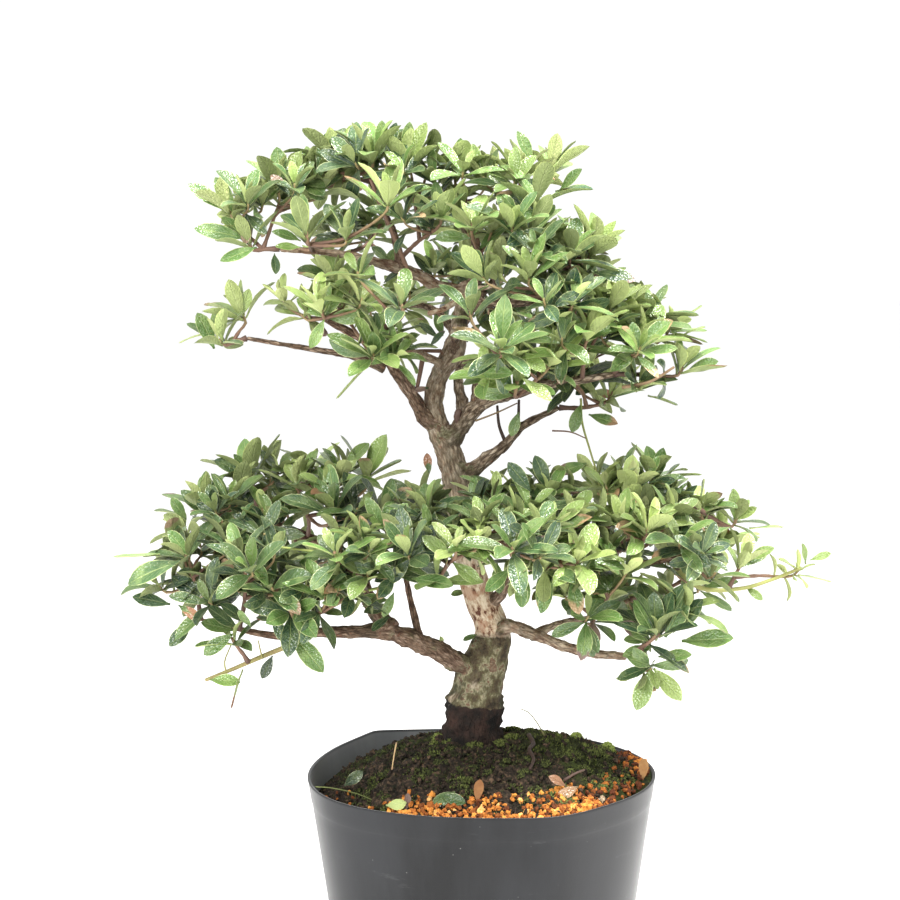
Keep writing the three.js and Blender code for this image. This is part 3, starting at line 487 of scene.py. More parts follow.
@dataclass(frozen=True)
class LeafFace:
    """One side of the leaves. Tone holds age, brightness, dryness and a draw."""

    name: str
    old: Colour
    grown: Colour
    young: Colour
    margin: Colour
    rib: Colour
    dullness: float
    coat: float  # of wax
    vein_share: float
    fleck_share: float

    def material(self) -> Material:
        """Builds the material.

        Returns:
            The material.
        """
        s = Sheet(self.name)
        age, shade, dry, draw = s.marks("tone")
        across, along, _, _ = s.marks("blade")
        off_rib = s.sums("ABSOLUTE", s.minus(across, 0.5))
        colour = s.ramp(age, ((0.0, self.old), (0.5, self.grown), (1.0, self.young)))
        mottle = s.steps(s.grain(150), 0.4, 0.75, 0.0, 0.35)
        colour = s.blend(mottle, colour, self.rib)
        slant = s.minus(along, s.times(off_rib, 0.62))
        veins = s.steps(s.sums("SINE", s.times(slant, 48.0)), 0.72, 1.0)
        colour = s.blend(s.times(veins, self.vein_share), colour, self.rib)
        midrib = s.steps(off_rib, 0.010, 0.045, 1.0, 0.0)
        colour = s.blend(s.times(midrib, 0.6), colour, self.rib)
        edge = s.steps(off_rib, 0.44, 0.49, 0.0, 0.85)
        colour = s.lit(s.blend(edge, colour, self.margin), shade)
        flecks = s.steps(s.grain(1700, 3), 0.54, 0.74)
        worn = s.steps(s.grain(70, 2), 0.46, 0.62, 0.15, 0.75)
        colour = s.blend(s.times(flecks, s.times(worn, self.fleck_share)), colour, FLECK)
        reach = s.plus(s.plus(along, s.centred(s.grain(180, 3), 0.7)), s.times(off_rib, 0.4))
        tip = s.steps(s.minus(reach, s.minus(1.25, dry)), 0.0, 0.2)
        colour = s.blend(tip, colour, s.ramp(draw, SCORCH))
        dull = s.steps(s.grain(420, 3), 0.3, 0.7, self.dullness - 0.08, self.dullness + 0.14)
        s.set(Base_Color=colour, Roughness=dull)
        s.set(Coat_Weight=self.coat, Coat_Roughness=0.16, Specular_IOR_Level=0.4)
        height = s.plus(s.times(veins, -0.45), s.times(s.cells(820), 0.7))
        s.relief(s.plus(height, s.times(midrib, -0.6)), 0.00045, 1.0)
        return s.material


@dataclass(frozen=True)
class BarkFinish:
    """Bark of the trunk and the boughs. Tone holds redness, wet, lichen and bareness."""

    name: str = "bark"
    grey: Stops = ((0.34, (0.070, 0.053, 0.036)), (0.5, (0.275, 0.228, 0.162)), (0.64, (0.60, 0.54, 0.43)))
    ruddy: Stops = ((0.34, (0.075, 0.034, 0.024)), (0.5, (0.205, 0.112, 0.078)), (0.68, (0.42, 0.27, 0.19)))
    bare: Stops = ((0.38, (0.10, 0.040, 0.026)), (0.44, (0.36, 0.25, 0.165)), (0.58, (0.60, 0.51, 0.38)))
    foot: Stops = ((0.4, (0.010, 0.009, 0.008)), (0.7, (0.046, 0.026, 0.020)))
    crust: Stops = (
        (0.36, (0.022, 0.017, 0.012)),
        (0.44, (0.085, 0.062, 0.036)),
        (0.50, (0.130, 0.120, 0.060)),
        (0.56, (0.320, 0.300, 0.190)),
        (0.60, (0.160, 0.075, 0.050)),
        (0.70, (0.260, 0.210, 0.140)),
    )

    def material(self) -> Material:
        """Builds the material.

        Returns:
            The material.
        """
        s = Sheet(self.name)
        red, wet, lichen, pale = s.marks("tone")
        coarse = s.grain(520, 5, 0.66, s.straight((1.0, 1.0, 0.36)))
        fine = s.grain(1300, 3, at=s.straight((1.0, 1.0, 0.5)))
        cracks = s.steps(s.cells(560, "DISTANCE_TO_EDGE", s.straight((1.0, 1.0, 0.28))), 0.02, 0.16)
        cracks = s.sums("MAXIMUM", cracks, s.sums("MULTIPLY", lichen, 1.1, clamp=True))
        colour = s.blend(red, s.ramp(coarse, self.grey), s.ramp(coarse, self.ruddy))
        shaded = s.blend(1.0, colour, (0.55, 0.50, 0.44), "MULTIPLY")
        colour = s.blend(s.steps(s.grain(95, 3), 0.42, 0.62, 0.6, 0.0), colour, shaded)
        rust = s.steps(s.grain(300, 2), 0.62, 0.70, 0.0, 0.6)
        colour = s.blend(rust, colour, (0.22, 0.085, 0.050))
        bare = s.ramp(s.grain(360, 4, 0.6, s.straight((1.0, 1.0, 0.65))), self.bare)
        stain = s.steps(s.grain(130, 3), 0.52, 0.60, 0.0, 0.6)
        colour = s.blend(pale, colour, s.blend(stain, bare, (0.33, 0.17, 0.10)))
        crust = s.ramp(s.grain(125, 5, 0.6), self.crust)
        crust = s.blend(s.steps(fine, 0.36, 0.62, 0.5, 0.0), crust, (0.05, 0.045, 0.028))
        patch = s.plus(lichen, s.centred(s.grain(75, 3), 1.9))
        colour = s.blend(s.steps(patch, 0.40, 0.60, 0.0, 0.95), colour, crust)
        damp_crust = s.grain(62, 3, at=s.stretched(s.place(), (1.0, 1.0, 0.8)))
        dark = s.times(lichen, s.steps(damp_crust, 0.52, 0.60, 0.0, 1.2))
        colour = s.blend(dark, colour, (0.040, 0.042, 0.024))
        # painted shade: the bark is drawn darker in its cracks
        depth = s.blend(s.times(s.minus(1.0, cracks), 0.7), colour, (0.040, 0.027, 0.018))
        colour = s.blend(s.sums("SUBTRACT", 1.0, pale, clamp=True), colour, depth)
        damp = s.steps(s.plus(wet, s.centred(s.grain(150), 0.9)), 0.46, 0.58, 0.0, 1.0)
        colour = s.blend(damp, colour, s.ramp(s.grain(110), self.foot))
        s.set(Base_Color=colour, Roughness=0.88, Specular_IOR_Level=0.2)
        ridge = s.plus(s.plus(coarse, s.times(fine, 0.5)), s.times(cracks, 0.45))
        s.relief(s.times(ridge, s.minus(1.0, s.times(pale, 0.65))), 0.0012, 1.0)
        return s.material


@dataclass(frozen=True)
class TwigFinish:
    """Skin of leafy twigs. Tone holds youth, brightness, the share of the length and a draw."""

    name: str = "twig_skin"
    stops: Stops = (
        (0.0, (0.095, 0.056, 0.045)),
        (0.4, (0.185, 0.105, 0.070)),
        (0.7, (0.29, 0.22, 0.10)),
        (1.0, (0.32, 0.40, 0.11)),
    )

    def material(self) -> Material:
        """Builds the material.

        Returns:
            The material.
        """
        s = Sheet(self.name)
        youth, shade, _, _ = s.marks("tone")
        grain = s.grain(700, 3)
        age = s.plus(youth, s.centred(grain, 0.35))
        s.set(Base_Color=s.lit(s.ramp(age, self.stops), shade), Roughness=0.62, Specular_IOR_Level=0.35)
        s.relief(grain, 0.0003, 0.6)
        return s.material


@dataclass(frozen=True)
class PotPlastic:
    """Soft dark grey plastic: dull, a little dusty, with a pale grey film inside that is part dust and part
    painted light on the inner wall. Tone holds the film's share.
    """

    name: str = "pot_plastic"
    stops: Stops = ((0.36, (0.0016, 0.002, 0.003)), (0.64, (0.0155, 0.0165, 0.019)))
    speck: Colour = (0.22, 0.22, 0.21)
    scuff: Colour = (0.09, 0.092, 0.095)
    # the film inside: dust, and painted light where the inner wall is lit
    film: Colour = (0.150, 0.157, 0.165)

    def material(self) -> Material:
        """Builds the material.

        Returns:
            The material.
        """
        s = Sheet(self.name)
        dust = s.grain(22, 5, 0.6, s.stretched(s.place(), (1.0, 1.0, 0.25)))
        colour = s.ramp(dust, self.stops)
        specks = s.times(s.steps(s.cells(210), 0.045, 0.075, 0.5, 0.0), s.steps(s.grain(60, 2), 0.5, 0.62))
        colour = s.blend(specks, colour, self.speck)
        scuffs = s.grain(30, 6, 0.7, s.stretched(s.place(), (1.0, 1.0, 6.0)))
        colour = s.blend(s.steps(scuffs, 0.62, 0.74, 0.0, 0.22), colour, self.scuff)
        # painted light and dust: the inner wall is drawn pale grey
        film = s.times(s.marks("tone")[0], s.steps(dust, 0.3, 0.7, 0.55, 0.95))
        colour = s.blend(film, colour, self.film)
        s.set(Base_Color=colour, Roughness=s.steps(dust, 0.3, 0.7, 0.40, 0.56), Specular_IOR_Level=0.27)
        s.set(Sheen_Weight=0.30, Sheen_Roughness=0.35)
        s.relief(s.grain(1400, 3), 0.00012, 0.35)
        return s.material


@dataclass(frozen=True)
class Earth:
    """Damp peat with a thin green film. Tone holds the film's share."""

    name: str = "peat"
    stops: Stops = (
        (0.36, (0.011, 0.009, 0.007)),
        (0.52, (0.034, 0.025, 0.018)),
        (0.68, (0.14, 0.088, 0.056)),
    )
    green: Stops = ((0.35, (0.010, 0.014, 0.004)), (0.65, (0.050, 0.068, 0.014)))
    bark_bit: Colour = (0.26, 0.10, 0.04)

    def material(self) -> Material:
        """Builds the material.

        Returns:
            The material.
        """
        s = Sheet(self.name)
        crumb = s.grain(420, 6, 0.65)
        bits = s.times(s.steps(s.cells(260), 0.05, 0.16, 0.55, 0.0), s.steps(s.grain(170, 2), 0.55, 0.63))
        colour = s.blend(bits, s.ramp(crumb, self.stops), self.bark_bit)
        film = s.plus(s.marks("tone")[0], s.minus(s.grain(120), 0.62))
        colour = s.blend(s.steps(film, 0.1, 0.35, 0.0, 0.85), colour, s.ramp(s.grain(520), self.green))
        s.set(Base_Color=colour, Roughness=0.93, Specular_IOR_Level=0.2)
        s.relief(crumb, 0.0016, 1.0)
        return s.material


@dataclass(frozen=True)
class Speckled:
    """A plain matte stuff in a few tones. Tone's first share picks the colour."""

    name: str
    stops: Stops
    scale: float  # of its grain, in ripples a metre
    depth: float  # of its relief, in metres
    roughness: float = 0.9

    def material(self) -> Material:
        """Builds the material.

        Returns:
            The material.
        """
        s = Sheet(self.name)
        grain = s.grain(self.scale)
        share = s.plus(s.marks("tone")[0], s.centred(grain, 0.5))
        s.set(Base_Color=s.ramp(share, self.stops), Roughness=self.roughness, Specular_IOR_Level=0.25)
        s.relief(grain, self.depth, 0.8)
        return s.material


LEAF_TOP = LeafFace(
    name="leaf_top",
    old=(0.022, 0.062, 0.030),
    grown=(0.104, 0.195, 0.040),
    young=(0.275, 0.350, 0.105),
    margin=(0.48, 0.53, 0.25),
    rib=(0.33, 0.42, 0.15),
    dullness=0.36,
    coat=0.6,
    vein_share=0.2,
    fleck_share=0.42,
)
LEAF_UNDER = LeafFace(
    name="leaf_underside",
    old=(0.180, 0.225, 0.085),
    grown=(0.335, 0.400, 0.150),
    young=(0.430, 0.475, 0.200),
    margin=(0.52, 0.59, 0.21),
    rib=(0.47, 0.54, 0.24),
    dullness=0.58,
    coat=0.0,
    vein_share=0.14,
    fleck_share=0.25,
)
DRY_LEAF = Speckled(
    "dry_leaf",
    ((0.1, (0.13, 0.045, 0.020)), (0.5, (0.27, 0.140, 0.055)), (0.9, (0.43, 0.29, 0.14))),
    scale=300,
    depth=0.0004,
)
GRANULE = Speckled(
    "clay_granule",
    (
        (0.05, (0.10, 0.030, 0.012)),
        (0.40, (0.40, 0.130, 0.026)),
        (0.80, (0.72, 0.31, 0.060)),
        (1.0, (0.82, 0.52, 0.22)),
    ),
    scale=900,
    depth=0.0005,
)
MOSS_TUFT = Speckled(
    "moss_tuft",
    (
        (0.05, (0.016, 0.017, 0.010)),
        (0.35, (0.050, 0.058, 0.020)),
        (0.65, (0.16, 0.19, 0.050)),
        (0.95, (0.34, 0.42, 0.11)),
    ),
    scale=600,
    depth=0.0003,
)


# ---- draws
class Draws:
    """Repeatable random draws."""

    def __init__(self, seed: int) -> None:
        """Starts the draws from a seed."""
        self.source = np.random.RandomState(seed)

    def between(self, low: float, high: float) -> float:
        """Draws a number between two."""
        return float(self.source.uniform(low, high))

    def near(self, middle: float, spread: float) -> float:
        """Draws a number near a middle, within two spreads of it."""
        return middle + spread * float(np.clip(self.source.normal(), -2, 2))

    def chance(self, share: float) -> bool:
        """Tells true in that share of the draws."""
        return bool(self.source.uniform() < share)

    def direction(self) -> Array:
        """Draws a direction."""
        return unit(self.source.normal(size=3))


# ---- leaves
@dataclass
class Blade:
    """One leaf: elliptic, widest past its middle, folded along the midrib, arched and pointed."""

    root: Array
    ahead: Array  # the way it points at its root
    face: Array  # the way its upper side looks
    length: float
    half_width: float
    tone: Shares  # age, brightness, dryness and a draw
    fold: float = 0.35  # rise of the margin over the midrib, in half-widths
    arch: float = 0.45  # how far it bends down, in radians
    twist: float = 0.0  # how far it turns about its midrib, in radians
    sweep: float = 0.0  # how far it bends sideways, in radians
    wave: float = 0.2  # height of the margin's ripple
    curl: float = 0.12  # how far the margins roll down, in half-widths


class BladePress:
    """Presses leaves of one pattern: rows of points, five across the top and three across the under side."""

    alongs = (0.0, 0.08, 0.20, 0.35, 0.51, 0.67, 0.81, 0.93)
    widths = (0.13, 0.19, 0.49, 0.79, 0.98, 0.97, 0.78, 0.40)
    acrosses = (-1.0, -0.52, 0.0, 0.52, 1.0)
    top = ((0, 1), (1, 2), (2, 3), (3, 4))
    under = ((0, 5), (5, 6), (6, 7), (7, 4))
    row = 8
    thickness = 0.34
    shrinks = (1.0, 0.9, 0.8, 0.68)  # a leaf that would leave its box is tried smaller
    spare = 0.4  # what stays free inside the box

    def __init__(self, low: Array, high: Array, skins: Sequence[Material]) -> None:
        """Lays out the faces, which are the same on every leaf.

        Args:
            low: Lowest corner of the box that the leaves stay in.
            high: Its highest corner.
            skins: Leaf top, leaf underside and twig skin.
        """
        self.low, self.high, self.skins = low + self.spare, high - self.spare, skins
        rows, row = len(self.alongs), self.row
        self.tip = rows * row
        end = self.tip - row
        self.faces: Faces = []
        for a in range(0, end, row):
            b = a + row
            self.faces += [(a + i, a + j, b + j, b + i) for i, j in self.top]
            self.faces += [(a + i, b + i, b + j, a + j) for i, j in self.under]
        self.faces += [(end + i, end + j, self.tip) for i, j in self.top]
        self.faces += [(end + i, self.tip, end + j) for i, j in self.under]
        self.faces.append((0, 5, 6, 7, 4, 3, 2, 1))
        self.finishes = [0, 0, 0, 0, 1, 1, 1, 1] * rows + [1]
        self.rim = np.zeros(self.tip + 1, dtype=bool)
        self.rim[[r * row + k for r in range(rows) for k in (0, 4)] + [self.tip]] = True
        acrosses = (*self.acrosses, *self.acrosses[1:4])
        places = [(0.5 + 0.5 * across, along, 0, 0) for along in self.alongs for across in acrosses]
        self.blade = np.array([*places, (0.5, 1.0, 0, 0)])

    def points(self, leaf: Blade) -> Array:
        """Gives a leaf's points.

        Args:
            leaf: The leaf.

        Returns:
            The points in millimetres.
        """
        across = unit(np.cross(leaf.ahead, leaf.face))
        ahead, up = leaf.ahead, unit(np.cross(across, leaf.ahead))
        spine, last = leaf.root.copy(), 0.0
        rows = []
        phase = leaf.tone[3] * 12
        for along, width in zip((*self.alongs, 1.0), (*self.widths, 0.0)):
            step = along - last
            spine = spine + ahead * step * leaf.length
            bend = leaf.arch * step * (0.4 + 1.2 * along)
            ahead, up = turned(ahead, across, -bend), turned(up, across, -bend)
            ahead, across = turned(ahead, up, leaf.sweep * step), turned(across, up, leaf.sweep * step)
            across, up = turned(across, ahead, leaf.twist * step), turned(up, ahead, leaf.twist * step)
            last = along
            if width == 0.0:
                rows.append(spine[None, :])
                continue
            reach = width * leaf.half_width
            row = []
            for share in self.acrosses:
                rise = reach * (leaf.fold * abs(share) - leaf.curl * share**2)
                rise += leaf.wave * share**2 * math.sin(9 * along + phase + 2 * share)
                row.append(spine + across * share * reach + up * rise)
            keel = self.thickness * (1.6 if width > 0.3 else 2.2)
            for k, drop in ((1, self.thickness), (2, keel), (3, self.thickness)):
                row.append(row[k] - up * drop)
            rows.append(np.array(row))
        return np.concatenate(rows)

    def press(self, draft: Draft, leaf: Blade) -> None:
        """Adds a leaf, smaller where it would leave the box, and none where even that is too large.

        Args:
            draft: The mesh that gets it.
            leaf: The leaf.
        """
        for shrink in self.shrinks:
            leaf.length *= shrink
            leaf.half_width *= shrink**0.5
            points = self.points(leaf)
            if (points >= self.low).all() and (points <= self.high).all():
                draft.add(points, self.faces, self.finishes, leaf.tone, self.blade, self.rim)
                return


class Habit(Enum):
    """How the leaves of a whorl stand: lowest and highest lean off the twig, in degrees."""

    OPEN = (82.0, 26.0)
    TUFT = (58.0, 8.0)


OPEN, TUFT = Habit.OPEN, Habit.TUFT


@dataclass
class Whorl:
    """Leaves round the end of a twig, large and old below, small and young at the middle."""

    centre: Array
    axis: Array  # the way its twig points
    count: int
    reach: float  # length of the largest leaf
    habit: Habit
    age: float  # from 0, old and dark, to 1, new and bright
    # shade is the leaves' own brightness, and also carries the painted shade and light of the whorl's place
    # in the crown
    shade: float  # brightness, 0.5 in the middle
    dry: float = 0.05  # share of the leaves with scorched tips

    def leaves(self, draws: Draws) -> Iterator[Blade]:
        """Gives the whorl's leaves, lowest first.

        Args:
            draws: Random draws.

        Returns:
            The leaves, one by one.
        """
        low, high = self.habit.value
        start = draws.between(0, 2 * math.pi)
        out = square_to(self.axis, draws.direction())
        for k in range(self.count):
            share = k / max(1, self.count - 1)
            lean = math.radians(low + (high - low) * share**1.1 + draws.near(0, 5))
            arm = turned(out, self.axis, start + k * GOLDEN_TURN + draws.near(0, 0.12))
            ahead, face = leaned(self.axis, arm, lean)
            length = self.reach * ((1 - 0.12 * share - 0.30 * share**6) * draws.near(1.0, 0.08))
            drop = 3.2 * (1 - share) + draws.between(0, 0.8)
            dry = draws.between(0.25, 0.5) if draws.chance(self.dry * (1.2 - share)) else 0.0
            yield Blade(
                self.centre - self.axis * drop + arm * 0.7,
                ahead,
                face,
                length,
                half_width=length * draws.between(0.165, 0.215),
                fold=draws.between(0.22, 0.55),
                arch=draws.near(0.42, 0.22),
                twist=draws.near(0, 0.16),
                sweep=draws.near(0, 0.14),
                wave=draws.between(0.05, 0.3),
                curl=draws.between(0.04, 0.2),
                tone=(
                    share_of(self.age + 0.45 * share**2.5 + draws.near(0, 0.13)),
                    share_of(self.shade + draws.near(0, 0.15)),
                    dry,
                    draws.between(0, 1),
                ),
            )


# ---- the tree's own lines
TWIG_SLOT = 2  # leaf tops and undersides have slots 0 and 1


@dataclass(frozen=True)
class Bough:
    """A bough, whose course starts inside what it grows from."""

    foot: float  # radius where it starts
    end: float  # radius at its end
    course: list[Point]
    red: float = 0.6  # how reddish brown its bark is
    pale: float = 0.0  # how much of its bark is bare and pale

    def radius(self, share: float) -> float:
        """Gives its plain radius at a share of its length."""
        return self.foot + (self.end - self.foot) * share


# The trunk from its root end to the leader's tip: place and radius.
TRUNK: tuple[tuple[float, float, float, float], ...] = (
    (-4.6, 0, 152, 13.6), (-4.6, 0, 168, 13.0), (-4.4, 0, 176, 12.5), (-3.4, 0, 188, 12.8),
    (-1, 1, 198, 12), (3, 2, 209, 9.8), (5, 3, 219, 9.1), (3, 3, 228, 8.2), (-2, 1, 240, 7.4),
    (-6, -1, 254, 7.2), (-9, -2, 273, 7.4), (-12, 0, 293, 7.5), (-17, 2, 312, 6.2), (-22, 3, 323, 5.9),
    (-25, 4, 337, 4.7), (-22, 4, 350, 4.3), (-15, 4, 363, 5.8), (-12, 4, 373, 4.3), (-10, 3, 387, 3.3),
    (-4, 2, 401, 2.6), (-5, 2, 415, 2), (-13, -2, 430, 1.6), (-17, -14, 437, 1.2),
)

BOUGHS: dict[str, Bough] = {
    "low_left": Bough(5.4, 4.4, [
        (-1, 0, 202), (-12, -5, 206), (-22, -10, 213), (-35, -16, 220), (-47, -22, 226),
    ], red=0.95),
    "low_left_long": Bough(3.8, 0.7, [
        (-45, -21, 226), (-68, -27, 226), (-85, -34, 227), (-99, -38, 226), (-113, -42, 229),
        (-136, -48, 236),
    ], red=0.8),
    "low_left_under": Bough(0.9, 0.6, [(-93, -38, 222), (-113, -44, 214.7), (-131, -47.5, 207.5)]),
    "low_left_rise": Bough(4, 1.6, [
        (-46, -22, 226), (-56, -14, 238), (-62, -6, 251), (-75, 2, 262), (-92, 6, 270), (-112, 8, 276),
        (-132, 8, 277),
    ], red=0.95),
    "low_left_upright": Bough(1.8, 1.1, [
        (-31, -14, 218), (-37, -12, 243), (-39, -10, 253), (-43, -14, 266),
    ], red=0.8),
    "low_left_near": Bough(2.2, 1.2, [(-62, -6, 251), (-65, -30, 260), (-69, -54, 262)]),
    "low_left_far": Bough(2.4, 1.3, [(-57, -13, 239), (-68, 20, 250), (-85, 48, 259)]),
    "low_right": Bough(3.6, 1.8, [
        (4, 1, 219.5), (13, -5, 225), (25, -12, 222.2), (39, -20, 218), (52, -28, 215.8), (69, -36, 215.5),
    ], red=0.5, pale=0.35),
    "low_right_rise": Bough(2.1, 1.2, [
        (24, -11, 221), (37, -2, 225), (47, 10, 225), (63, 22, 226), (77, 32, 232),
    ], red=0.5, pale=0.35),
    "mid_right": Bough(2.8, 1.3, [
        (1, 1, 235), (8, -4, 240), (12, -10, 248), (17, -16, 257), (33, -24, 256), (53, -28, 256),
        (76, -30, 260), (103, -30, 265),
    ]),
    "mid_right_far": Bough(0.9, 0.5, [(90, -30, 262), (106, -27, 248), (127, -23, 247), (143, -19, 251)]),
    "mid_right_rise": Bough(2.1, 1.2, [
        (32, -23, 256), (45, -20, 268), (63, -14, 277), (83, -8, 284), (104, -4, 287),
    ]),
    "mid_near": Bough(3, 1.5, [(-8, -2, 266), (-11, -25, 271), (-16, -46, 270), (-23, -64, 269)]),
    "mid_near_right": Bough(2.1, 1.3, [(-11, -24, 271), (2, -48, 276), (14, -70, 275)]),
    "mid_far": Bough(3.2, 1.6, [(-8, 0, 268), (-2, 30, 272), (9, 60, 273), (27, 84, 272)]),
    "mid_far_left": Bough(2.2, 1.3, [(-2, 29, 272), (-22, 60, 274), (-42, 80, 275)]),
    "mid_far_right": Bough(2.2, 1.3, [(7, 56, 273), (38, 62, 268), (70, 66, 266)]),
    "upper_right_low": Bough(3.6, 1.3, [
        (-8, 1, 301), (-1, 0, 306.5), (3.5, -2, 310.5), (9.5, -3, 314.8), (14, -4, 319.5), (18, -4, 324.5),
        (22.5, -4, 327.5), (29, -6, 331), (37, -8, 335),
    ], red=0.35),
    "upper_right_drop": Bough(2, 1.2, [
        (-10, 1, 285), (5, 6, 286), (24, 12, 287), (48, 20, 290), (70, 22, 293),
    ]),
    "upper_right": Bough(4.7, 1.5, [
        (-18, 3, 318), (-14, 0, 322), (-10, -4, 327), (-4, -10, 335), (6, -18, 341), (16, -26, 344),
        (29, -32, 348), (45, -34, 350), (62, -34, 353),
    ], red=0.4),
    "upper_right_far": Bough(3.0, 1.2, [
        (-9, -5, 330), (-10, 0, 336), (-12, 6, 344), (-12, 14, 351), (-8, 24, 357), (10, 32, 355),
        (26, 40, 358),
    ], red=0.3),
    "upper_right_rise": Bough(3.0, 1.4, [
        (-3, -12, 335), (-3, -6, 341), (-3, 0, 347), (-2, 8, 354), (2, 14, 362),
    ], red=0.3),
    "upper_left": Bough(3.9, 1.7, [
        (-21, 3, 323), (-29, 0, 330), (-36.5, -6, 343.5), (-43.5, -10, 353.5), (-51, -14, 364),
        (-66, -16, 373), (-78, -20, 380),
    ], red=0.8),
    "upper_left_long": Bough(2, 0.9, [
        (-49, -11, 355), (-64, -16, 361), (-80, -19, 364), (-98, -22, 367), (-115, -24, 370),
    ]),
    "upper_left_near": Bough(2, 1.2, [
        (-20, 4, 356), (-31, -14, 362), (-41, -30, 366), (-47, -44, 376),
    ], pale=0.4),
    "top_left": Bough(3.4, 1.3, [
        (-8, 3, 393), (-14, -4, 392), (-22, -8, 395), (-33, -14, 401), (-41, -18, 404), (-61, -24, 409),
        (-80, -26, 412), (-98, -28, 413),
    ], red=0.7, pale=0.45),
    "top_left_rise": Bough(2.2, 1.2, [
        (-40, -18, 404), (-44, -16, 421), (-49, -16, 432), (-55, -14, 446),
    ], red=0.8),
    "top_left_far": Bough(2.2, 1.3, [(-32, -13, 401), (-49, 15, 405), (-68, 38, 411), (-82, 52, 414)]),
    "top_right": Bough(2.4, 1.2, [(-6, 2, 395), (4, -4, 406), (16, -10, 418), (24, -12, 430)]),
    "top_right_low": Bough(2.6, 1.3, [
        (-10, 3, 386), (6, -14, 387), (24, -28, 388), (40, -34, 394), (54, -32, 400),
    ]),
    "top_far": Bough(3, 1.4, [(-12, 4, 374), (-5, 32, 385), (3, 56, 394), (14, 72, 406)]),
    "top_far_right": Bough(2, 1.3, [(-5, 31, 385), (20, 50, 389), (46, 58, 391)]),
    "top_far_left": Bough(2.4, 1.3, [(-13, 5, 372), (-27, 34, 384), (-46, 62, 386)]),
    "top_near": Bough(2.4, 1.3, [(-15, 3, 363), (-13, -22, 371), (-8, -46, 372), (2, -64, 368)]),
    "dead_stub_left": Bough(1.9, 1.2, [
        (-8, 1, 391), (-13, -12, 388), (-20, -18, 384), (-27, -20, 382),
    ], pale=0.9),
    "dead_stub_right": Bough(1.5, 0.9, [
        (-8, 1, 392), (-4, -12, 394), (3, -18, 395), (9, -20, 398),
    ], pale=0.8),
}

# Each leafy shoot: the hearts of its whorls, the first on the main twig, the others on forks of it.
SHOOTS: dict[str, list[list[Point]]] = {
    "low_left": [
        [(-143, -50, 268), (-157, -44, 252), (-131, -56, 246)], [(-121, -52, 228)],
        [(-136, -20, 288), (-122, -36, 276)], [(-117, 0, 300), (-87, 14, 302)],
        [(-115, -64, 268), (-101, -64, 254)], [(-92, -60, 242), (-76, -68, 252)],
        [(-93, -14, 298), (-73, -34, 287), (-58, 6, 300)], [(-70, -78, 273), (-55, -72, 262)],
        [(-47, -52, 280), (-39, -60, 263)], [(-154, 30, 270), (-134, 42, 276)],
        [(-113, 62, 281), (-94, 60, 246)], [(-62, 84, 264), (-45, 86, 269)],
    ],
    "low_near": [
        [(-28, -62, 289), (-36, -84, 274)], [(-14, -92, 278), (-23, -80, 261)],
        [(12, -96, 278), (-2, -74, 287)], [(6, -30, 293), (22, -54, 290), (31, -34, 296)],
    ],
    "low_right": [
        [(43, -70, 268), (28, -66, 264), (42, -52, 286)], [(58, -30, 241), (68, -52, 260)],
        [(79, -44, 280), (71, -16, 294), (92, -30, 284)], [(83, -50, 231), (81, -42, 211), (97, -46, 241)],
        [(101, -42, 273), (112, -38, 257)], [(127, -24, 260), (157, -16, 256)],
        [(128, 2, 279), (108, 18, 283), (87, 10, 300)],
    ],
    "low_far": [
        [(-14, 98, 266), (-33, 72, 276)], [(23, 112, 256), (44, 98, 272)],
        [(76, 78, 253), (98, 60, 269), (80, 52, 228)], [(127, 42, 262), (114, 30, 243)],
    ],
    "top_left": [
        [(-113, -30, 417), (-124, -20, 433), (-101, -12, 443)],
        [(-85, -42, 421), (-66, -46, 420), (-46, -46, 436)],
        [(-73, -2, 458), (-54, -22, 458), (-85, 2, 448)], [(-128, -26, 370), (-118, -20, 382)],
        [(-78, -48, 386), (-97, -34, 390)], [(-72, -26, 397), (-53, -50, 364)],
        [(-39, -62, 387), (-60, -50, 402)],
    ],
    "top_near": [
        [(-21, -38, 430), (-36, -18, 455)], [(-6, -48, 425), (-14, -12, 450)],
        [(18, -14, 449), (34, 4, 454)], [(25, -34, 436), (13, -48, 424)], [(41, -46, 411), (52, -30, 413)],
        [(41, -62, 389), (20, -66, 401)], [(7, -82, 368), (-7, -72, 384)], [(15, -64, 351), (31, -60, 360)],
    ],
    "top_right": [
        [(49, -52, 373), (61, -42, 386)], [(74, -44, 370), (91, -22, 375)],
        [(96, -30, 357), (75, -34, 348)], [(64, -6, 343), (46, -20, 354)],
    ],
    "top_far": [
        [(-93, 58, 421), (-73, 76, 424), (-79, 40, 404)], [(-53, 62, 435), (-15, 60, 400)],
        [(6, 58, 424), (34, 72, 418)], [(58, 64, 398), (80, 42, 382), (52, 56, 362)],
        [(-6, 98, 387), (19, 92, 375)], [(-41, 86, 388), (-70, 62, 381)],
    ],
}

TIER_HEARTS = {"low": vec(-5, 0, 240), "top": vec(-15, 0, 370)}
TOP_TIER = 330.0  # whorls above this height belong to the top tier


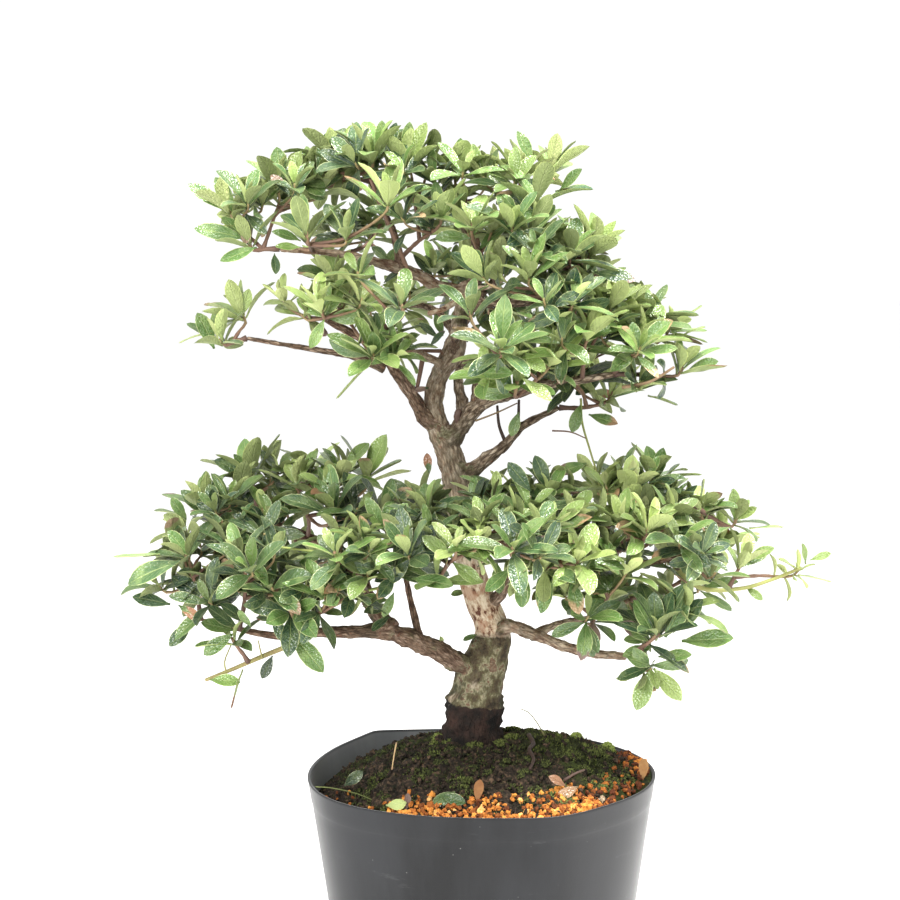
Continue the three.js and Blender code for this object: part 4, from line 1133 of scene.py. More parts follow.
class Wood:
    """The trunk and boughs as one grown piece with ridged bark."""

    trunk_sides = 56
    trunk_step = 0.9
    bough_step = 1.7
    seats_a_bough = 20
    sleeve_top = 185.5  # the dark wet foot of the trunk ends here
    lichen_top = 219.0  # grey-green lichen ends here, bare pinkish bark starts

    def __init__(self) -> None:
        """Lays the trunk's and the boughs' courses."""
        self.trunk = Course([p[:3] for p in TRUNK])
        self.knots = [self.trunk.knot_share(k) for k in range(len(TRUNK))]
        self.radii = [p[3] for p in TRUNK]
        self.courses = {name: Course(b.course) for name, b in BOUGHS.items()}

    def trunk_radius(self, share: float) -> float:
        """Gives the trunk's radius at a share of its length."""
        return float(np.interp(share, self.knots, self.radii))

    def _trunk_swell(self, place: Array, turn: float, share: float) -> float:
        """Gives the trunk's relief: ridges that run up it, burrs, and the ragged lip of the dark foot.

        Args:
            place: Where on the trunk.
            turn: The turn round it, in radians.
            share: The share of its length.

        Returns:
            How far the bark stands out.
        """
        radius, z = self.trunk_radius(share), place[2]
        ridges = rough(vec(place[0], place[1], z * 0.28), 0.42, 4)
        coarse = smooth_step(258, 285, z)
        bare = smooth_step(216, 222, z) * (1 - smooth_step(250, 270, z))
        relief = (0.25 - 0.18 * bare + 0.6 * coarse) * ridges * min(1.0, radius / 5)
        relief += 0.09 * radius * rough(place, 0.085, 2)
        relief += 0.8 * (1 - smooth_step(212, 222, z)) * rough(place, 0.21, 3)
        lip = self.sleeve_top + 5 * rough(place, 0.13, 2) + 5 * math.cos(turn - 2.6) ** 2
        relief += (1.3 + 1.5 * rough(place, 0.24, 3)) * (1 - smooth_step(lip - 1.5, lip + 1.0, z))
        collar = self.lichen_top + 2.5 * math.sin(turn * 2)
        return relief + 0.5 * (1 - smooth_step(collar - 1, collar + 1, z))

    def _trunk_tone(self, share: float) -> Shares:
        """Gives the trunk's marks.

        Args:
            share: The share of its length.

        Returns:
            Thinness, wet, lichen and bareness.
        """
        z = float(self.trunk.at(share)[2])
        thin = 1 - smooth_step(1.5, 5.0, self.trunk_radius(share))
        wet = 1 - smooth_step(self.sleeve_top - 6, self.sleeve_top + 5, z)
        edge = self.lichen_top
        lichen = 0.75 * smooth_step(178, 186, z) * (1 - smooth_step(edge - 3, edge + 3, z))
        lichen += 0.30 * smooth_step(268, 290, z)
        bare = smooth_step(edge - 2, edge + 3, z) * (1 - 0.75 * smooth_step(250, 276, z))
        return (0.12 + 0.25 * thin, wet, lichen, bare)

    def build(self) -> None:
        """Builds the wood in place of its solid."""
        draft = Draft()
        sides, step = self.trunk_sides, self.trunk_step
        tube(draft, self.trunk, self.trunk_radius, sides, step, 0, self._trunk_tone, self._trunk_swell)
        for index, (name, bough) in enumerate(BOUGHS.items()):
            self._add_bough(draft, bough, self.courses[name], index)
        piece = draft.piece("wood_with_bark", [BarkFinish().material()], "bark")
        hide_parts("wood")

    def _add_bough(self, draft: Draft, bough: Bough, course: Course, index: int) -> None:
        """Adds one bough: flared where it leaves what bears it, knotty along its way.

        Args:
            draft: The mesh that gets it.
            bough: The bough.
            course: Its course.
            index: Its number, which shifts its knots.
        """

        def radius_at(share: float) -> float:
            """Gives the bough's radius.

            Args:
                share: The share of its length.

            Returns:
                The radius in millimetres.
            """
            run = share * course.length
            knots = 0.10 * math.sin(run * 0.45 + index) * math.sin(run * 0.17 + 2 * index)
            return bough.radius(share) * (1 + 0.45 * math.exp(-run / 7) + knots)

        def swell(place: Array, turn: float, share: float) -> float:
            """Gives the bark's relief."""
            radius = radius_at(share)
            return 0.15 * radius * rough(place, 0.40, 4) + 0.12 * radius * rough(place, 0.13, 2)

        def tone_at(share: float) -> Shares:
            """Gives the bough's marks.

            Args:
                share: The share of its length.

            Returns:
                Redness, wet, lichen and bareness.
            """
            radius = bough.radius(share)
            near_trunk = 1 - smooth_step(4.0, 22.0, share * course.length)
            low = 0.30 if course.at(share)[2] < 250 else 0.22
            lichen = low * smooth_step(1.8, 4.5, radius) + 0.25 * near_trunk
            return (bough.red * (1 - 0.35 * smooth_step(1.2, 5.5, radius)), 0.0, lichen, bough.pale)

        sides = 18 if bough.foot > 3 else 12
        tube(draft, course, radius_at, sides, self.bough_step, 0, tone_at, swell)

    def seats(self) -> list[tuple[Array, float]]:
        """Gives the places on the boughs where a twig can sit, and the bough's radius there."""
        shares = [step / self.seats_a_bough for step in range(2, self.seats_a_bough + 1)]
        return [(self.courses[name].at(s), bough.radius(s)) for name, bough in BOUGHS.items() for s in shares]


@dataclass
class Twig:
    """A leafy twig."""

    start: Array
    end: Array  # the heart of a whorl
    axis: Array  # the way its end points
    swing: Array  # a push on its middle
    foot: float  # radius at its start
    youth: float  # from 0, brown, to 1, yellow-green

    def course(self) -> Course:
        """Gives the twig's course: it leaves its foot, swings up and ends along its axis.

        Returns:
            The course.
        """
        reach = float(np.linalg.norm(self.end - self.start))
        middle = (self.start + self.end) / 2 - self.axis * 0.14 * reach + self.swing
        neck = self.end - self.axis * min(5.0, 0.3 * reach)
        return Course([tuple(p) for p in (self.start, middle, neck, self.end)], samples=8)

    def grow(self, draft: Draft, draws: Draws) -> Course:
        """Adds the twig and its end bud.

        Args:
            draft: The mesh that gets it.
            draws: Random draws.

        Returns:
            The twig's course.
        """
        course = self.course()
        draw = draws.between(0, 1)

        def radius_at(share: float) -> float:
            """Gives the twig's radius, a little thicker at its foot and at its joints."""
            joint = 0.12 * math.sin(share * course.length * 0.9 + 6 * draw)
            return self.foot * (1 - 0.38 * share + 0.25 * math.exp(-share * course.length / 2.5) + joint)

        def tone_at(share: float) -> Shares:
            """Gives the skin's tone: younger towards the tip."""
            return (share_of(self.youth - 0.25 + 0.5 * share), 0.5, share, draw)

        tube(draft, course, radius_at, 6, 2.6, TWIG_SLOT, tone_at)
        return course


@dataclass
class Sprig:
    """A whorl with the twig that bears it, and how many single leaves the twig bears, if that is known."""

    whorl: Whorl
    twig: Twig
    strays: int | None = None


class LeafyShoot:
    """One forked shoot with its whorls, in place of its solid."""

    satellites = 3
    satellite_reach = (11.0, 21.0)
    satellite_tries = 16
    nearest = 10.5  # between the hearts of two whorls
    stray_leaves = (2, 6)

    def __init__(self, label: str, hearts: list[Point], wood: Wood, taken: list[Array], draws: Draws) -> None:
        """Lays the shoot out.

        Args:
            label: Its tier, side and number.
            hearts: The hearts of its whorls.
            wood: What it grows on.
            taken: Hearts of all the whorls so far, which grows by the new ones.
            draws: Random draws.
        """
        self.name = f"shoot_{label}"
        self.draws, self.taken = draws, taken
        self.tier = TIER_HEARTS[label.split("_")[0]]
        self.cares = CARE.get(label, {})
        first, *others = [vec(*p) for p in hearts]
        axis = self._axis(first, None)
        seat, radius = self._seat(first, axis, wood)
        foot = seat + unit(first - seat) * radius * 0.5
        main = Twig(foot, first, axis, self._swing(first - foot), 1.25, 0.3)
        fork = main.course().at(0.45)
        self.sprigs = [Sprig(self._whorl(first, axis, 0), main)]
        for k, place in enumerate(others, start=1):
            side_axis = self._axis(place, first * 0.85 + self.tier * 0.15)
            twig = Twig(fork, place, side_axis, self._swing(place - fork), 1.0, 0.45)
            self.sprigs.append(Sprig(self._whorl(place, side_axis, k), twig))
        for k, sprig in enumerate(list(self.sprigs)):
            care = self.cares.get(k, Care())
            sprig.strays = care.strays
            self._add_satellites(sprig, self.satellites if care.beside is None else care.beside)

    def _axis(self, place: Array, fork: Array | None) -> Array:
        """Gives the way a whorl faces: away from its tier's heart and up, and away from its fork.

        Args:
            place: The whorl's heart.
            fork: Where its twig starts, if it is a side twig.

        Returns:
            The direction.
        """
        away = unit(place - self.tier) * 0.5
        if fork is not None:
            away = away + unit(place - fork) * 0.35
        return unit(away + UP * (1.2 if place[2] > TOP_TIER else 0.9))

    def _painted_shade(self, place: Array) -> float:
        """Gives the painted shade on a whorl's leaves at a place: darker inside the crown and at its back."""
        inside = 1 - smooth_step(25, 60, float(np.linalg.norm(place - self.tier)))
        return 0.14 * inside + 0.14 * smooth_step(0, 60, place[1])

    def _seat(self, place: Array, axis: Array, wood: Wood) -> tuple[Array, float]:
        """Gives the seat on a bough that suits a twig best, and the bough's radius."""
        fit = [s for s in wood.seats() if np.linalg.norm(s[0] - place) > 13]
        return min(fit, key=lambda s: float(np.linalg.norm(s[0] - (place - axis * 16))))

    def _swing(self, run: Array) -> Array:
        """Draws a sideways push for a twig's middle."""
        aside = square_to(unit(run), self.draws.direction())
        return aside * self.draws.between(0, 0.09) * float(np.linalg.norm(run))

    def _whorl(self, place: Array, axis: Array, index: int) -> Whorl:
        """Makes a main whorl, with what is known of it.

        Args:
            place: Its heart.
            axis: The way it faces.
            index: Its number in the shoot.

        Returns:
            The whorl.
        """
        self.taken.append(place)
        draws, top = self.draws, place[2] > TOP_TIER
        whorl = Whorl(
            place,
            axis,
            count=int(round(draws.between(6.6, 9.4))),
            reach=draws.near(23.0, 1.4),
            habit=TUFT if draws.chance(0.8 if top else 0.4) else OPEN,
            age=float(np.clip(draws.near(0.34, 0.18), 0.05, 0.9)),
            # painted light and shade: top-tier whorls are drawn brighter, as if lit through from behind, and
            # whorls inside the crown or at its back darker
            shade=draws.near(0.60 if top else 0.5, 0.08) - self._painted_shade(place),
        )
        care = self.cares.get(index, Care())
        for trait in ("count", "reach", "habit", "age", "shade"):
            if getattr(care, trait) is not None:
                setattr(whorl, trait, getattr(care, trait))
        if care.axis is not None:
            whorl.axis = unit(vec(*care.axis))
        return whorl

    def _add_satellites(self, sprig: Sprig, wanted: int) -> None:
        """Adds smaller whorls beside and behind one, where there is room between the others.

        Args:
            sprig: The whorl and its twig.
            wanted: How many.
        """
        heart, axis = sprig.whorl.centre, sprig.whorl.axis
        course, draws = sprig.twig.course(), self.draws
        made = 0
        for _ in range(self.satellite_tries):
            if made == wanted:
                return
            inward = unit(self.tier - heart)
            out = square_to(axis, draws.direction() + inward * 0.8 + UP * 0.3)
            place = heart + out * draws.between(*self.satellite_reach) + inward * draws.between(0, 8)
            near = min(float(np.linalg.norm(place - t)) for t in self.taken) < self.nearest
            if near or place[2] < heart[2] - 4:
                continue
            self.taken.append(place)
            made += 1
            fork = course.at(draws.between(0.5, 0.75))
            way = unit(axis + out * 0.75 + UP * 0.2)
            whorl = Whorl(
                place,
                way,
                count=int(round(draws.between(4.6, 7.4))),
                reach=draws.near(20.0, 1.5),
                habit=sprig.whorl.habit if draws.chance(0.6) else OPEN,
                age=float(np.clip(sprig.whorl.age + draws.near(-0.06, 0.12), 0.02, 0.95)),
                # painted shade: whorls beside and behind the main one are drawn darker
                shade=draws.near(sprig.whorl.shade - 0.09, 0.10),
            )
            self.sprigs.append(Sprig(whorl, Twig(fork, place, way, self._swing(place - fork), 0.8, 0.5)))

    def _stray_leaves(self, course: Course, sprig: Sprig) -> Iterator[Blade]:
        """Gives single leaves along a twig, below its whorl.

        Args:
            course: The twig's course.
            sprig: The whorl and its twig.

        Returns:
            The leaves, one by one.
        """
        whorl, draws = sprig.whorl, self.draws
        count = draws.source.randint(*self.stray_leaves) if sprig.strays is None else sprig.strays
        for _ in range(count):
            share = draws.between(0.55, 0.88)
            along = course.along(share)
            arm = square_to(along, draws.direction() + UP * 0.4)
            ahead, face = leaned(along, arm, math.radians(draws.between(60, 105)))
            size = whorl.reach * draws.between(0.7, 0.95)
            yield Blade(
                course.at(share) + arm * 0.6,
                ahead,
                face,
                size,
                half_width=size * draws.between(0.17, 0.21),
                arch=draws.near(0.5, 0.2),
                twist=draws.near(0, 0.25),
                tone=(
                    share_of(whorl.age - 0.15),
                    draws.near(whorl.shade - 0.12, 0.12),
                    draws.between(0.3, 0.7) if draws.chance(0.12) else 0.0,
                    draws.between(0, 1),
                ),
            )

    def build(self, press: BladePress) -> None:
        """Builds the shoot in place of its solid.

        Args:
            press: Makes the leaves.
        """
        draft = Draft()
        for sprig in self.sprigs:
            course = sprig.twig.grow(draft, self.draws)
            for leaf in sprig.whorl.leaves(self.draws):
                press.press(draft, leaf)
            for leaf in self._stray_leaves(course, sprig):
                press.press(draft, leaf)
        piece = draft.piece(f"{self.name}_leaves", press.skins, "leaf")
        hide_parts(self.name)


@dataclass(frozen=True)
class Care:
    """What sets one whorl apart from the drawn ones; None leaves a thing as drawn."""

    count: int | None = None
    reach: float | None = None
    habit: Habit | None = None
    age: float | None = None
    shade: float | None = None
    axis: Point | None = None
    beside: int | None = None  # how many smaller whorls stand beside it
    strays: int | None = None  # how many single leaves its twig bears


# The whorls that differ, by shoot and number in the shoot.
CARE: dict[str, dict[int, Care]] = {
    "low_left_1": {
        0: Care(reach=25, habit=OPEN, age=0.15), 1: Care(5, beside=0),
        2: Care(habit=OPEN, age=0.08, shade=0.4, axis=(-0.3, -0.6, 0.6)),
    },
    "low_left_2": {0: Care(3, reach=19, beside=0)},
    "low_left_4": {0: Care(9, reach=27, habit=TUFT)},
    "low_left_5": {1: Care(habit=OPEN, age=0.12, shade=0.45, axis=(0, -0.6, 0.7))},
    "low_left_6": {0: Care(9, reach=24, habit=OPEN, axis=(0.1, -0.85, 0.45))},
    "low_left_7": {2: Care(6, age=0.5, beside=0)},
    "low_left_9": {0: Care(9, habit=OPEN, axis=(0.1, -0.7, 0.7), age=0.3), 1: Care(4, reach=19, beside=0)},
    "low_left_10": {0: Care(reach=20, beside=1, strays=1)},
    "low_left_12": {1: Care(5, beside=0)},
    "low_near_2": {0: Care(7, reach=19, habit=OPEN, age=0.85, shade=0.6), 1: Care(4, beside=0)},
    "low_near_3": {0: Care(9, habit=OPEN, axis=(0.0, -0.55, 0.8), age=0.1)},
    "low_right_1": {0: Care(9, reach=25, habit=OPEN, axis=(0.15, -0.5, 0.85))},
    "low_right_3": {0: Care(8, reach=25, age=0.7, shade=0.6)},
    "low_right_4": {
        0: Care(9, reach=26, habit=TUFT, age=0.05, shade=0.42, axis=(0, -0.35, 0.9), beside=0),
        1: Care(3, reach=19, habit=OPEN, axis=(0.1, -0.95, -0.2), beside=0), 2: Care(beside=1, strays=0),
    },
    "low_right_5": {1: Care(6, beside=0, strays=0)},
    "low_right_6": {
        0: Care(7, reach=21, habit=TUFT, beside=0, strays=0),
        1: Care(4, reach=14, age=0.95, shade=0.6, beside=0),
    },
    "low_right_7": {0: Care(7, reach=20, beside=1, strays=0)},
    "top_left_1": {0: Care(6, habit=TUFT, beside=0, strays=0), 2: Care(9, reach=26, habit=TUFT)},
    "top_left_2": {
        0: Care(6, habit=TUFT, beside=0, strays=0), 1: Care(6, habit=TUFT, beside=0, strays=0),
        2: Care(7, habit=TUFT, beside=0, strays=0),
    },
    "top_left_3": {
        0: Care(9, reach=26, habit=TUFT), 1: Care(9, reach=26, habit=TUFT),
        2: Care(9, reach=26, habit=TUFT),
    },
    "top_left_4": {0: Care(6, reach=21, beside=0), 1: Care(6, age=0.55, beside=0)},
    "top_left_5": {1: Care(5, reach=16, age=0.95, shade=0.6, beside=0)},
    "top_left_6": {
        0: Care(beside=1, strays=0), 1: Care(9, reach=26, habit=OPEN, axis=(0.1, -0.5, 0.85), age=0.4),
    },
    "top_left_7": {
        0: Care(7, reach=26, age=0.2, axis=(0.2, -0.4, 0.9), beside=0, strays=0),
        1: Care(6, beside=0, strays=0),
    },
    "top_near_3": {1: Care(7, habit=TUFT, beside=0, strays=0)},
    "top_near_4": {0: Care(5, beside=0)},
    "top_near_5": {0: Care(reach=26, habit=OPEN)},
    "top_near_7": {
        0: Care(8, reach=26, habit=OPEN, axis=(0.1, -0.45, 0.9), beside=0), 1: Care(5, beside=0, strays=0),
    },
    "top_near_8": {0: Care(6, reach=21, habit=OPEN, axis=(0.0, -0.7, 0.6), age=0.6)},
    "top_right_1": {0: Care(reach=26, habit=TUFT)},
    "top_right_2": {0: Care(reach=26, habit=TUFT)},
    "top_right_3": {0: Care(6, beside=0), 1: Care(6, beside=0)},
    "top_far_1": {0: Care(beside=1, strays=0), 2: Care(beside=0)},
    "top_far_2": {0: Care(beside=1, strays=1)},
    "top_far_4": {0: Care(beside=2)},
}


# ---- pot
@dataclass
class Pot:
    """The thin, soft nursery pot: a flaring wall with dents and a kink, and a plain cut rim."""

    height: float = 150.0
    rim_radius: float = 87.4
    foot_radius: float = 66.5
    wall: float = 1.2
    sides: int = 240
    # Direction in degrees, push outwards and spread of each soft dent, and of the sharp fold at the back.
    dents: tuple[Point, ...] = ((-140, 5, 20), (-68, 4, 10))
    kink: Point = (124, 16, 16)
    # Height and inset of each ring, from the foot over the rim's edge, and down the inside to the floor.
    outside: tuple[tuple[float, float], ...] = (
        (0.0, 3.0), (0.0, 2.2), (0.3, 1.6), (0.9, 0.5), (1.8, 0.05),
        *((z, 0.05) for z in (6, 20, 40, 60, 80, 100, 116, 128, 134, 137.4)),
        (138.2, -0.08), (139.0, -0.22), (142, -0.2), (146, -0.2), (148.6, -0.25), (149.6, -0.3),
        (149.9, -0.12), (149.95, 0.3), (149.9, 0.9), (149.6, 1.2),
    )
    inside: tuple[tuple[float, float], ...] = (
        *((z, 1.25) for z in (148.6, 140, 125, 100, 70, 40, 15, 4)),
        (1.9, 1.7), (1.65, 3.0),
    )

    def radius(self, z: float, direction: float) -> float:
        """Gives the wall's outer radius.

        Args:
            z: Height.
            direction: Degrees about the pot's middle.

        Returns:
            The radius in millimetres.
        """
        share = z / self.height
        push = 0.0
        for at, depth, spread in self.dents:
            turn = (direction - at + 180) % 360 - 180
            push += depth * math.exp(-(turn**2) / (2 * spread**2))
        at, depth, spread = self.kink
        turn = abs((direction - at + 180) % 360 - 180)
        push += depth * math.exp(-(math.hypot(turn, 1.5) - 1.5) / spread) * (1 - smooth_step(20, 60, turn))
        return self.foot_radius + (self.rim_radius - self.foot_radius) * share + share**2 * push

    def ring(self, z: float, inset: float) -> Array:
        """Gives the ring of points at a height, that far inside the outer wall."""
        turns = np.linspace(-180, 180, self.sides, endpoint=False)
        return np.array([around(self.radius(z, turn) - inset, turn, z) for turn in turns])

    def build(self) -> None:
        """Builds the pot in place of its solid."""
        rings = (*self.outside, *self.inside)
        n, last = self.sides, len(rings) - 1
        faces = band(n, last)
        faces.append(tuple(range(n))[::-1])
        faces.append(tuple(last * n + k for k in range(n)))
        # the inside rings get the pale film, part dust and part painted light
        film = [0.0] * len(self.outside) * n + [1.0] * len(self.inside) * n
        draft = Draft()
        points = np.concatenate([self.ring(z, inset) for z, inset in rings])
        draft.add(points, faces, 0, np.array([(share, 0.5, 0.0, 0.5) for share in film]))
        piece = draft.piece("pot_body", [PotPlastic().material()], "pot")
        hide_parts("pot")


# ---- ground
@dataclass
class Ground:
    """The root ball: peat that fills the pot and rises in a mound round the trunk."""

    pot: Pot
    peak: float = 167.0
    roundness: float = 0.9
    rings: int = 96
    sides: int = 280
    crumb_count: int = 640
    # Direction in degrees and height of the soil along the wall.
    edge: tuple[tuple[float, float], ...] = (
        (-180, 136), (-130, 141), (-90, 145), (-40, 147), (0, 149), (50, 147), (110, 140), (180, 136),
    )
    # Place, rise and spread of each hump, and heights of the rings below the mound, along the pot's wall.
    humps: tuple[Shares, ...] = ((44, -6, 4, 25), (-30, -36, 4, 18))
    depths: tuple[float, ...] = (118.0, 98.0, 78.0, 58.0, 38.0, 18.0, 2.0)

    def edge_height(self, direction: float) -> float:
        """Gives the soil's height along the wall in a direction."""
        return float(np.interp(direction, [e[0] for e in self.edge], [e[1] for e in self.edge]))

    def reach(self, direction: float) -> float:
        """Gives how far the soil reaches in a direction."""
        return self.pot.radius(self.edge_height(direction), direction) - self.pot.wall - 0.4

    def point(self, share: float, direction: float) -> Array:
        """Gives a point on the plain surface.

        Args:
            share: From 0 at the trunk to 1 at the wall.
            direction: Degrees about the pot's middle.

        Returns:
            The point in millimetres.
        """
        edge = self.edge_height(direction)
        z = edge + (self.peak - edge) * max(0.0, math.cos(share * math.pi / 2)) ** self.roundness
        place = around(share * self.reach(direction), direction, z)
        for x, y, rise, spread in self.humps:
            away = (place[0] - x) ** 2 + (place[1] - y) ** 2
            place[2] += rise * math.exp(-away / (2 * spread**2)) * (1 - share**4)
        return place

    def at(self, x: float, y: float) -> Array:
        """Gives the surface point over a place in plan."""
        direction = math.degrees(math.atan2(y, x))
        return self.point(min(1.0, math.hypot(x, y) / self.reach(direction)), direction)

    def crumbs(self, place: Array) -> float:
        """Gives the relief of lumps and fibres at a place on the surface."""
        return 2.0 * rough(place, 0.12, 3) + 1.5 * rough(place, 0.37, 3) - 1.2

    def film(self, place: Array, direction: float, share: float) -> float:
        """Gives how green the film on the peat is: most on the right and behind, little at the front left."""
        lit = smooth_step(-80, 10, direction) * (1 - smooth_step(150, 178, direction))
        return share_of(0.12 + 0.62 * lit * smooth_step(0.1, 0.4, share) + 0.18 * rough(place, 0.05, 2))

    def build(self) -> None:
        """Builds the soil in place of its solid."""
        n = self.sides
        turns = [float(turn) for turn in np.linspace(-180, 180, n, endpoint=False)]
        points, films = [self.point(0.0, 0.0)], [0.2]
        for share in (r / self.rings for r in range(1, self.rings + 1)):
            for turn in turns:
                place = self.point(share, turn)
                points.append(place + UP * self.crumbs(place) * (1 - 0.8 * smooth_step(0.94, 1.0, share)))
                films.append(self.film(place, turn, share))
        for z in self.depths:
            points += [around(self.pot.radius(z, turn) - self.pot.wall - 0.7, turn, z) for turn in turns]
            films += [0.0] * n
        rows = self.rings - 1 + len(self.depths)
        faces: Faces = [(0, 1 + k, 1 + (k + 1) % n) for k in range(n)]
        faces += [(a, d, c, b) for a, b, c, d in band(n, rows, first=1)]
        faces.append(tuple(1 + rows * n + k for k in range(n))[::-1])
        draft = Draft()
        draft.add(np.array(points), faces, 0, np.array([(film, 0.5, 0.0, 0.5) for film in films]))
        draws = Draws(12)
        for _ in range(self.crumb_count):
            turn, share = draws.between(-180, 180), math.sqrt(draws.between(0.06, 0.94))
            place = self.point(share, turn) + UP * draws.between(-0.9, 0.1)
            size = draws.between(0.6, 1.5)
            half = [draws.between(low, high) for low, high in ((0.9, 2.0), (0.6, 1.2), (0.6, 1.2))]
            pebble(draft, place, size * np.array(half), draws, draws.between(0, 0.2))
        piece = draft.piece("root_ball", [Earth().material()], "soil")
        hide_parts("soil")


def pebble(draft: Draft, place: Array, half: Array, draws: Draws, tone: float) -> None:
    """Adds a small rough lump.

    Args:
        draft: The mesh that gets it.
        place: Its middle.
        half: Its half sizes.
        draws: Random draws.
        tone: Its first share.
    """
    a, wish = draws.direction(), draws.direction()
    b = square_to(a, wish)
    jolt = 1 + 0.26 * draws.source.normal(size=(len(LUMP_POINTS), 1)).clip(-1.6, 1.6)
    points = place + (LUMP_POINTS * jolt * half) @ np.array([a, b, np.cross(a, b)])
    draft.add(points, LUMP_FACES, 0, (tone, 0.5, 0, 0.5), rim=np.ones(len(points), dtype=bool))


def lump() -> tuple[Array, Faces]:
    """Gives a ball with 42 points: twelve corners, and the middles of the edges between them.

    Returns:
        Its points and faces.
    """
    gold = (1 + 5**0.5) / 2
    corners = [(s * 1.0, t * gold, 0.0) for s in (-1, 1) for t in (-1, 1)]
    points = [unit(np.roll(c, k)) for k in range(3) for c in corners]
    edge = min(np.linalg.norm(points[0] - p) for p in points[1:]) * 1.05
    near = [[j for j in range(12) if 0 < np.linalg.norm(points[i] - points[j]) < edge] for i in range(12)]
    pairs = [(i, j) for i in range(12) for j in near[i] if j > i]
    triangles = [(i, j, k) for i, j in pairs for k in near[j] if k > j and k in near[i]]
    faces: Faces = []
    middles: dict[tuple[int, int], int] = {}
    for i, j, k in triangles:
        mids = []
        for a, b in ((i, j), (j, k), (k, i)):
            key = (min(a, b), max(a, b))
            if key not in middles:
                middles[key] = len(points)
                points.append(unit(points[a] + points[b]))
            mids.append(middles[key])
        for face in ((i, mids[0], mids[2]), (j, mids[1], mids[0]), (k, mids[2], mids[1]), tuple(mids)):
            p, q, r = (points[c] for c in face)
            faces.append(face if np.dot(np.cross(q - p, r - p), p) > 0 else face[::-1])
    return np.array(points), faces


LUMP_POINTS, LUMP_FACES = lump()


class Grit:
    """Orange clay granules heaped along the front of the pot and thinner round its right edge."""

    count = 840

    def __init__(self, ground: Ground) -> None:
        """Takes the ground that they lie on."""
        self.ground, self.draws = ground, Draws(31)

    def _spot(self) -> tuple[float, float]:
        """Draws a place: thick along the front edge, thin inwards and round the right.

        Returns:
            Its direction in degrees and its share of the way to the wall.
        """
        draws = self.draws
        if draws.chance(0.70):
            return draws.between(-124, -48), 1 - abs(draws.near(0.0, 0.12))
        low, high = (-168, -120) if draws.chance(0.14) else (-56, 24)
        return draws.between(low, high), 1 - abs(draws.near(0.0, 0.10))

    def build(self) -> None:
        """Builds the granules in place of their solid."""
        draft, draws = Draft(), self.draws
        for _ in range(self.count):
            turn, share = self._spot()
            share = min(share, 0.975)
            place = self.ground.point(share, turn)
            size = draws.near(1.08, 0.40)
            half = np.array([size, size * draws.between(0.6, 1.0), size * draws.between(0.5, 0.9)])
            tone = draws.between(0.02, 0.92) - 0.35 * smooth_step(-70, -30, turn)
            heap = 1.6 * smooth_step(0.86, 0.97, share) * draws.between(0, 1)
            pebble(draft, place + UP * (0.4 * size - 0.5 + heap), half, draws, tone)
        piece = draft.piece("clay_granules", [GRANULE.material()], "grit")
        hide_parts("grit")


